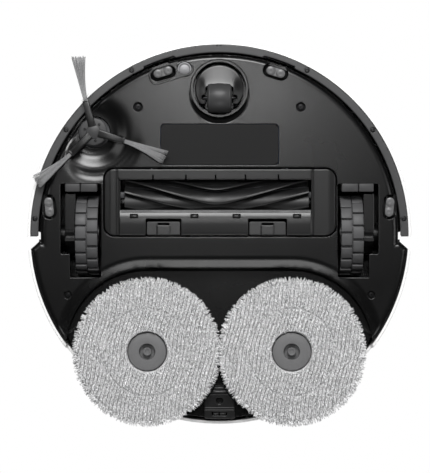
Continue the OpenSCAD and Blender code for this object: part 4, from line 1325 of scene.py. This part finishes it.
def make_top():
    lid = (LID_LOW[0] + 2.2, LID_HIGH[0] - 2.2, LID_LOW[1] - 0.6, LID_HIGH[1] + 0.4)
    edges = [(top_outline, 2.2, 2.5), (hole_box(*lid, 9), 0.5, 2.6),
             (hole_circle(TURRET[0], TURRET[1], 44.6), 0.6, 2.4)]
    for node in KEYS:
        edges.append((hole_circle(*key_centre(node), 6.8), 0.5, 2.4))

    def height(x, y):
        """Level, with a shallow groove that follows the rim."""
        inset = top_outline(x, y)
        groove = smooth_clamp((inset - 9.0) / 0.8, 0.3) - smooth_clamp((inset - 10.6) / 0.8, 0.3)
        return TOP_Z - 0.45 * groove
    mesh = plate_mesh(TOP_EXTENT, by_mode(1.0), edges, height, up=-1)
    bosses = [block((x - 1.7, LID_HIGH[1] - 3.5, 75.5), (x + 1.7, LID_HIGH[1] + 1, 77.4), 0.3)
              for x in (-66.3, 66.3)]
    place("top_cover", join_meshes([mesh] + bosses), "body", "white_shell", ["top_shell"], sharp=50)


def make_shade_liner():
    """Dark inner side of the top cover, which closes the view up past the bumper and the wheels: a black sheet
    that paints the shade seen up there.
    """
    fields = [lambda x, y: top_outline(x, y) - 0.6, hole_circle(TURRET[0], TURRET[1], 44.8)]
    fields += [hole_circle(*key_centre(node), 8.2) for node in KEYS]
    fields.append(hole_box(LID_LOW[0] + 2, LID_HIGH[0] - 2, LID_LOW[1] - 0.8, LID_HIGH[1] + 0.6, 9))
    mesh = plate_mesh(TOP_EXTENT, 2.4, [(field, 0.2, 0.4) for field in fields], level(TOP_Z - 2.9))
    place("top_shade_liner", mesh, "body", "chassis_black")


def make_lid():
    low, high = LID_LOW, LID_HIGH
    x0, x1 = low[0] + 2.8, high[0] - 2.8
    outline = inside(hole_box(x0, x1, low[1], high[1] - 1.6, 8.6))

    def height(x, y):
        """Finger dip at the front edge and a fine line round the panel."""
        dip = np.exp(-((x / 17) ** 4)) * smooth_clamp((low[1] + 13 - y) / 9, 0.4)
        ring = outline(x, y)
        line = smooth_clamp((ring - 6) / 0.5, 0.3) - smooth_clamp((ring - 7) / 0.5, 0.3)
        return TOP_Z - 1.5 * dip - 0.3 * line
    extent = (x0 - 1, x1 + 1, low[1] - 1, high[1] + 1)
    panel = plate_mesh(extent, by_mode(0.9), [(outline, 0.7, 2.1)], height, up=-1)
    hinge = joint_mm("lid_hinge")
    pin = lathe(round_profile(rect(0, 1.6, x0 + 2, x1 - 2), 0.3), (0, hinge[1], hinge[2]), 24, axis="x")
    place("lid_panel", join_meshes([panel, pin]), "lid", "white_shell", ["top_lid"], sharp=50)


def make_keys():
    """Round key caps, one with a power mark and one with a house."""
    for node, body in KEYS.items():
        x, y = key_centre(node)
        low, top = box_mm(node)[0][2], box_mm(node)[1][2]
        profile = [(0, top - 0.7), (3.2, top - 0.5), (5.3, top - 0.12), (6.0, top), (6.45, top - 0.4),
                   (6.5, top - 1.2), (6.5, low + 2), (7.6, low + 2), (7.6, low), (0, low)]
        parts = [lathe(profile, (x, y, 0), 64)]
        if node == "power_key":
            ring = round_profile(rect(2.1, 2.6, top - 0.62, top - 0.35), 0.08, 2)
            parts.append(lathe(ring, (x, y, 0), 40, closed=True, arc=(-60, 240)))
            parts.append(block((x - 0.22, y - 3.0, top - 0.6), (x + 0.22, y - 0.9, top - 0.35), 0.1, 2))
        else:
            parts.append(block((x - 1.5, y - 0.2, top - 0.7), (x + 1.5, y + 2.0, top - 0.42), 0.12, 2))
            parts.append(wedge([(x - 2.2, y - 0.3), (x + 2.2, y - 0.3), (x, y - 2.3)], top - 0.7, top - 0.42))
        place(node + "_cap", join_meshes(parts), body, "key_plastic", [node], sharp=40, closed=True)


def make_turret():
    r = (TURRET_HIGH[0] - TURRET_LOW[0]) / 2
    top = TURRET_HIGH[2]
    profile = [(37.2, 70.6), (44, 70.6), (44, 80.3), (r, 80.3), (r, top - 0.4), (r - 2.2, top), (37.2, top)]
    collar = lathe(round_profile(profile, 0.8), TURRET_AT, 144, closed=True)
    floor = lathe(rect(5.1, 43.6, 70.4, 68.2), TURRET_AT, 96, closed=True)
    place("turret_base", join_meshes([collar, floor]), "body", "white_shell", ["lidar_cage"], sharp=40,
          closed=True)
    low = CAP_LOW[2]
    profile = [(2.9, top), (2.3, top + 0.9), (1.9, top + 3), (1.9, low - 2.5), (2.3, low - 0.8), (2.9, low)]
    posts = []
    for k in range(6):
        at = turned([(40, 0, 0)], math.radians(30 + 60 * k), TURRET_AT)[0]
        posts.append(lathe(profile, at, 24))
    place("turret_posts", join_meshes(posts), "body", "white_shell", ["lidar_posts"], sharp=50)
    r, high = (CAP_HIGH[0] - CAP_LOW[0]) / 2, CAP_HIGH[2]
    profile = [(0, low), (r - 0.8, low), (r, low + 0.6), (r, high - 2.2), (r - 0.5, high - 1.1),
               (r - 1.8, high - 0.35), (r - 4, high - 0.1), (r - 7, high), (r - 7.4, high - 0.35),
               (r - 8.2, high - 0.35), (r - 8.6, high), (0, high)]
    place("turret_cap", lathe(profile, TURRET_AT, 144), "body", "white_shell", ["lidar_cap"], sharp=35,
          closed=True)
    make_laser_drum()


def make_laser_drum():
    """Turning head with its two optical windows."""
    profile = [(0, 66), (5, 66), (5, 70.9), (34, 71), (34, 74.6), (33.4, 75), (27, 75.2), (27, 91.6),
               (26.2, 92.6),
               (0, 92.8)]
    parts = [lathe(profile, TURRET_AT, 96)]
    eye = lathe([(0, 0), (4.4, 0), (4.4, 1.1), (3.6, 1.4), (3.2, 0.9), (0, 1.2)], (26.2, 0, 84.2), 32, axis="x")
    for degrees in (250, 290):
        parts.append((turned(eye[0], math.radians(degrees), TURRET_AT), eye[1]))
    place("laser_drum", join_meshes(parts), "lidar_head", "sensor_dark", ["lidar_rotor"], sharp=40, closed=True)


def make_contacts():
    low, high = box_mm("charge_contacts")
    r = BODY_R - 0.35
    section = round_profile(rect(r - 1.3, r - 0.2, low[2] + 0.4, high[2] - 0.4), 0.4)
    bars = []
    for side in SIDES:
        middle = math.degrees(math.acos(side * CONTACT_X / r))
        bars.append(lathe(section, (0, 0, 0), 8, closed=True, arc=(middle - 1.55, middle + 1.55)))
    place("charging_bars", join_meshes(bars), "body", "contact_metal", ["charge_contacts"], sharp=40,
          closed=True)


def soften_inner_parts():
    """Rounded edges on the CAD nodes that stay, as moulded and machined parts have."""
    widths = {1.2: ["battery_pack", "water_tank"],
              0.8: ["suction_fan", "dust_bin", "side_brush_motor", "main_brush_motor", "left_wheel_arm",
                    "right_wheel_arm"],
              0.7: ["wheel_brackets"],
              0.6: ["mop_carriage"],
              0.5: ["bin_filter", "brush_bearings", "mop_motor", "left_wheel_hub", "right_wheel_hub",
                    "wheel_housings"],
              0.4: ["caster_socket", "caster_axle"],
              0.3: ["chassis_wall", "cliff_windows"],
              0.2: ["main_board"]}
    for width, names in widths.items():
        for name in names:
            soften(frame["nodes"][name], width)


make_top()
make_shade_liner()
make_lid()
make_keys()
make_turret()
make_contacts()
soften_inner_parts()


# ---------------------------------------------------------------- camera, light and floor

def make_camera():
    """Looks straight up from far below; view_width is what it sees at the height of the floor."""
    data = bpy.data.cameras.new("camera")
    camera = bpy.data.objects.new("camera", data)
    bpy.context.scene.collection.objects.link(camera)
    data.sensor_fit = "HORIZONTAL"
    data.sensor_width = 36
    distance = 1600
    view_width = 391.3
    data.lens = data.sensor_width * (distance + CHASSIS_Z) / view_width
    camera.location = (-4.0 * MM, 2.8 * MM, -distance * MM)
    camera.rotation_euler = (math.pi, 0, 0)
    data.clip_start = 0.01
    data.clip_end = 20
    bpy.context.scene.camera = camera


def area_light(name, location, target, size, power):
    """Rectangular lamp, lengths in metres and power in watts."""
    data = bpy.data.lights.new(name, "AREA")
    data.shape = "RECTANGLE"
    data.size, data.size_y = size
    data.energy = power
    lamp = bpy.data.objects.new(name, data)
    lamp.location = location
    lamp.rotation_euler = (Vector(target) - Vector(location)).to_track_quat("-Z", "Y").to_euler()
    bpy.context.scene.collection.objects.link(lamp)


def make_floor():
    """Pale floor that is seen from above only, so that it doesn't hide the underside."""
    half = 6.0
    mesh = bpy.data.meshes.new("floor")
    mesh.from_pydata([(x, y, 0) for x, y in rect(-half, half, -half, half)], [], [(0, 1, 2, 3)])
    floor = bpy.data.objects.new("floor", mesh)
    bpy.context.scene.collection.objects.link(floor)
    s = Surface("floor", (0.86, 0.86, 0.86), 0.7)
    back = s.node("ShaderNodeNewGeometry", {}, "Backfacing")
    clear = s.node("ShaderNodeBsdfTransparent", {})
    mixed = s.node("ShaderNodeMixShader", {0: back, 1: s.shader.outputs[0], 2: clear})
    s.tree.links.new(mixed, s.tree.nodes["Material Output"].inputs["Surface"])
    mesh.materials.append(s.material)
    floor.visible_shadow = False
    floor.visible_glossy = False


def make_world():
    """White to the camera, dimmer to everything that it lights."""
    world = bpy.data.worlds.new("studio")
    bpy.context.scene.world = world
    world.use_nodes = True
    tree = world.node_tree
    background = tree.nodes["Background"]
    path = tree.nodes.new("ShaderNodeLightPath")
    mix = tree.nodes.new("ShaderNodeMixRGB")
    mix.inputs[1].default_value = (0.025, 0.025, 0.025, 1)
    mix.inputs[2].default_value = (1, 1, 1, 1)
    tree.links.new(path.outputs["Is Camera Ray"], mix.inputs[0])
    tree.links.new(mix.outputs[0], background.inputs["Color"])
    background.inputs["Strength"].default_value = 1.0


def make_lights():
    # The softbox in front glows on the front of the chassis and on every slope that faces it
    area_light("under_front", (0, -1.0, -1.25), (0, 0, 0), (0.8, 0.5), 23.5)
    area_light("under_key", (0.0, -0.35, -1.95), (0, -0.1, 0), (0.26, 0.16), 3.1)
    area_light("under_rear", (0.0, 1.35, -1.25), (0, 0.05, 0), (0.8, 0.35), 5.5)
    area_light("under_left", (-1.0, -0.4, -1.0), (0, 0, 0), (0.5, 0.5), 1.8)
    area_light("under_right", (1.0, -0.1, -0.9), (0, 0, 0), (0.4, 0.7), 2.0)
    area_light("top_key", (-0.8, -0.9, 1.4), (0, 0, 0), (1.2, 1.2), 30)
    area_light("top_fill", (1.2, 0.8, 1.2), (0, 0, 0), (1.2, 1.2), 22)


make_camera()
make_floor()
make_world()
make_lights()
bpy.context.scene.view_settings.view_transform = "Standard"
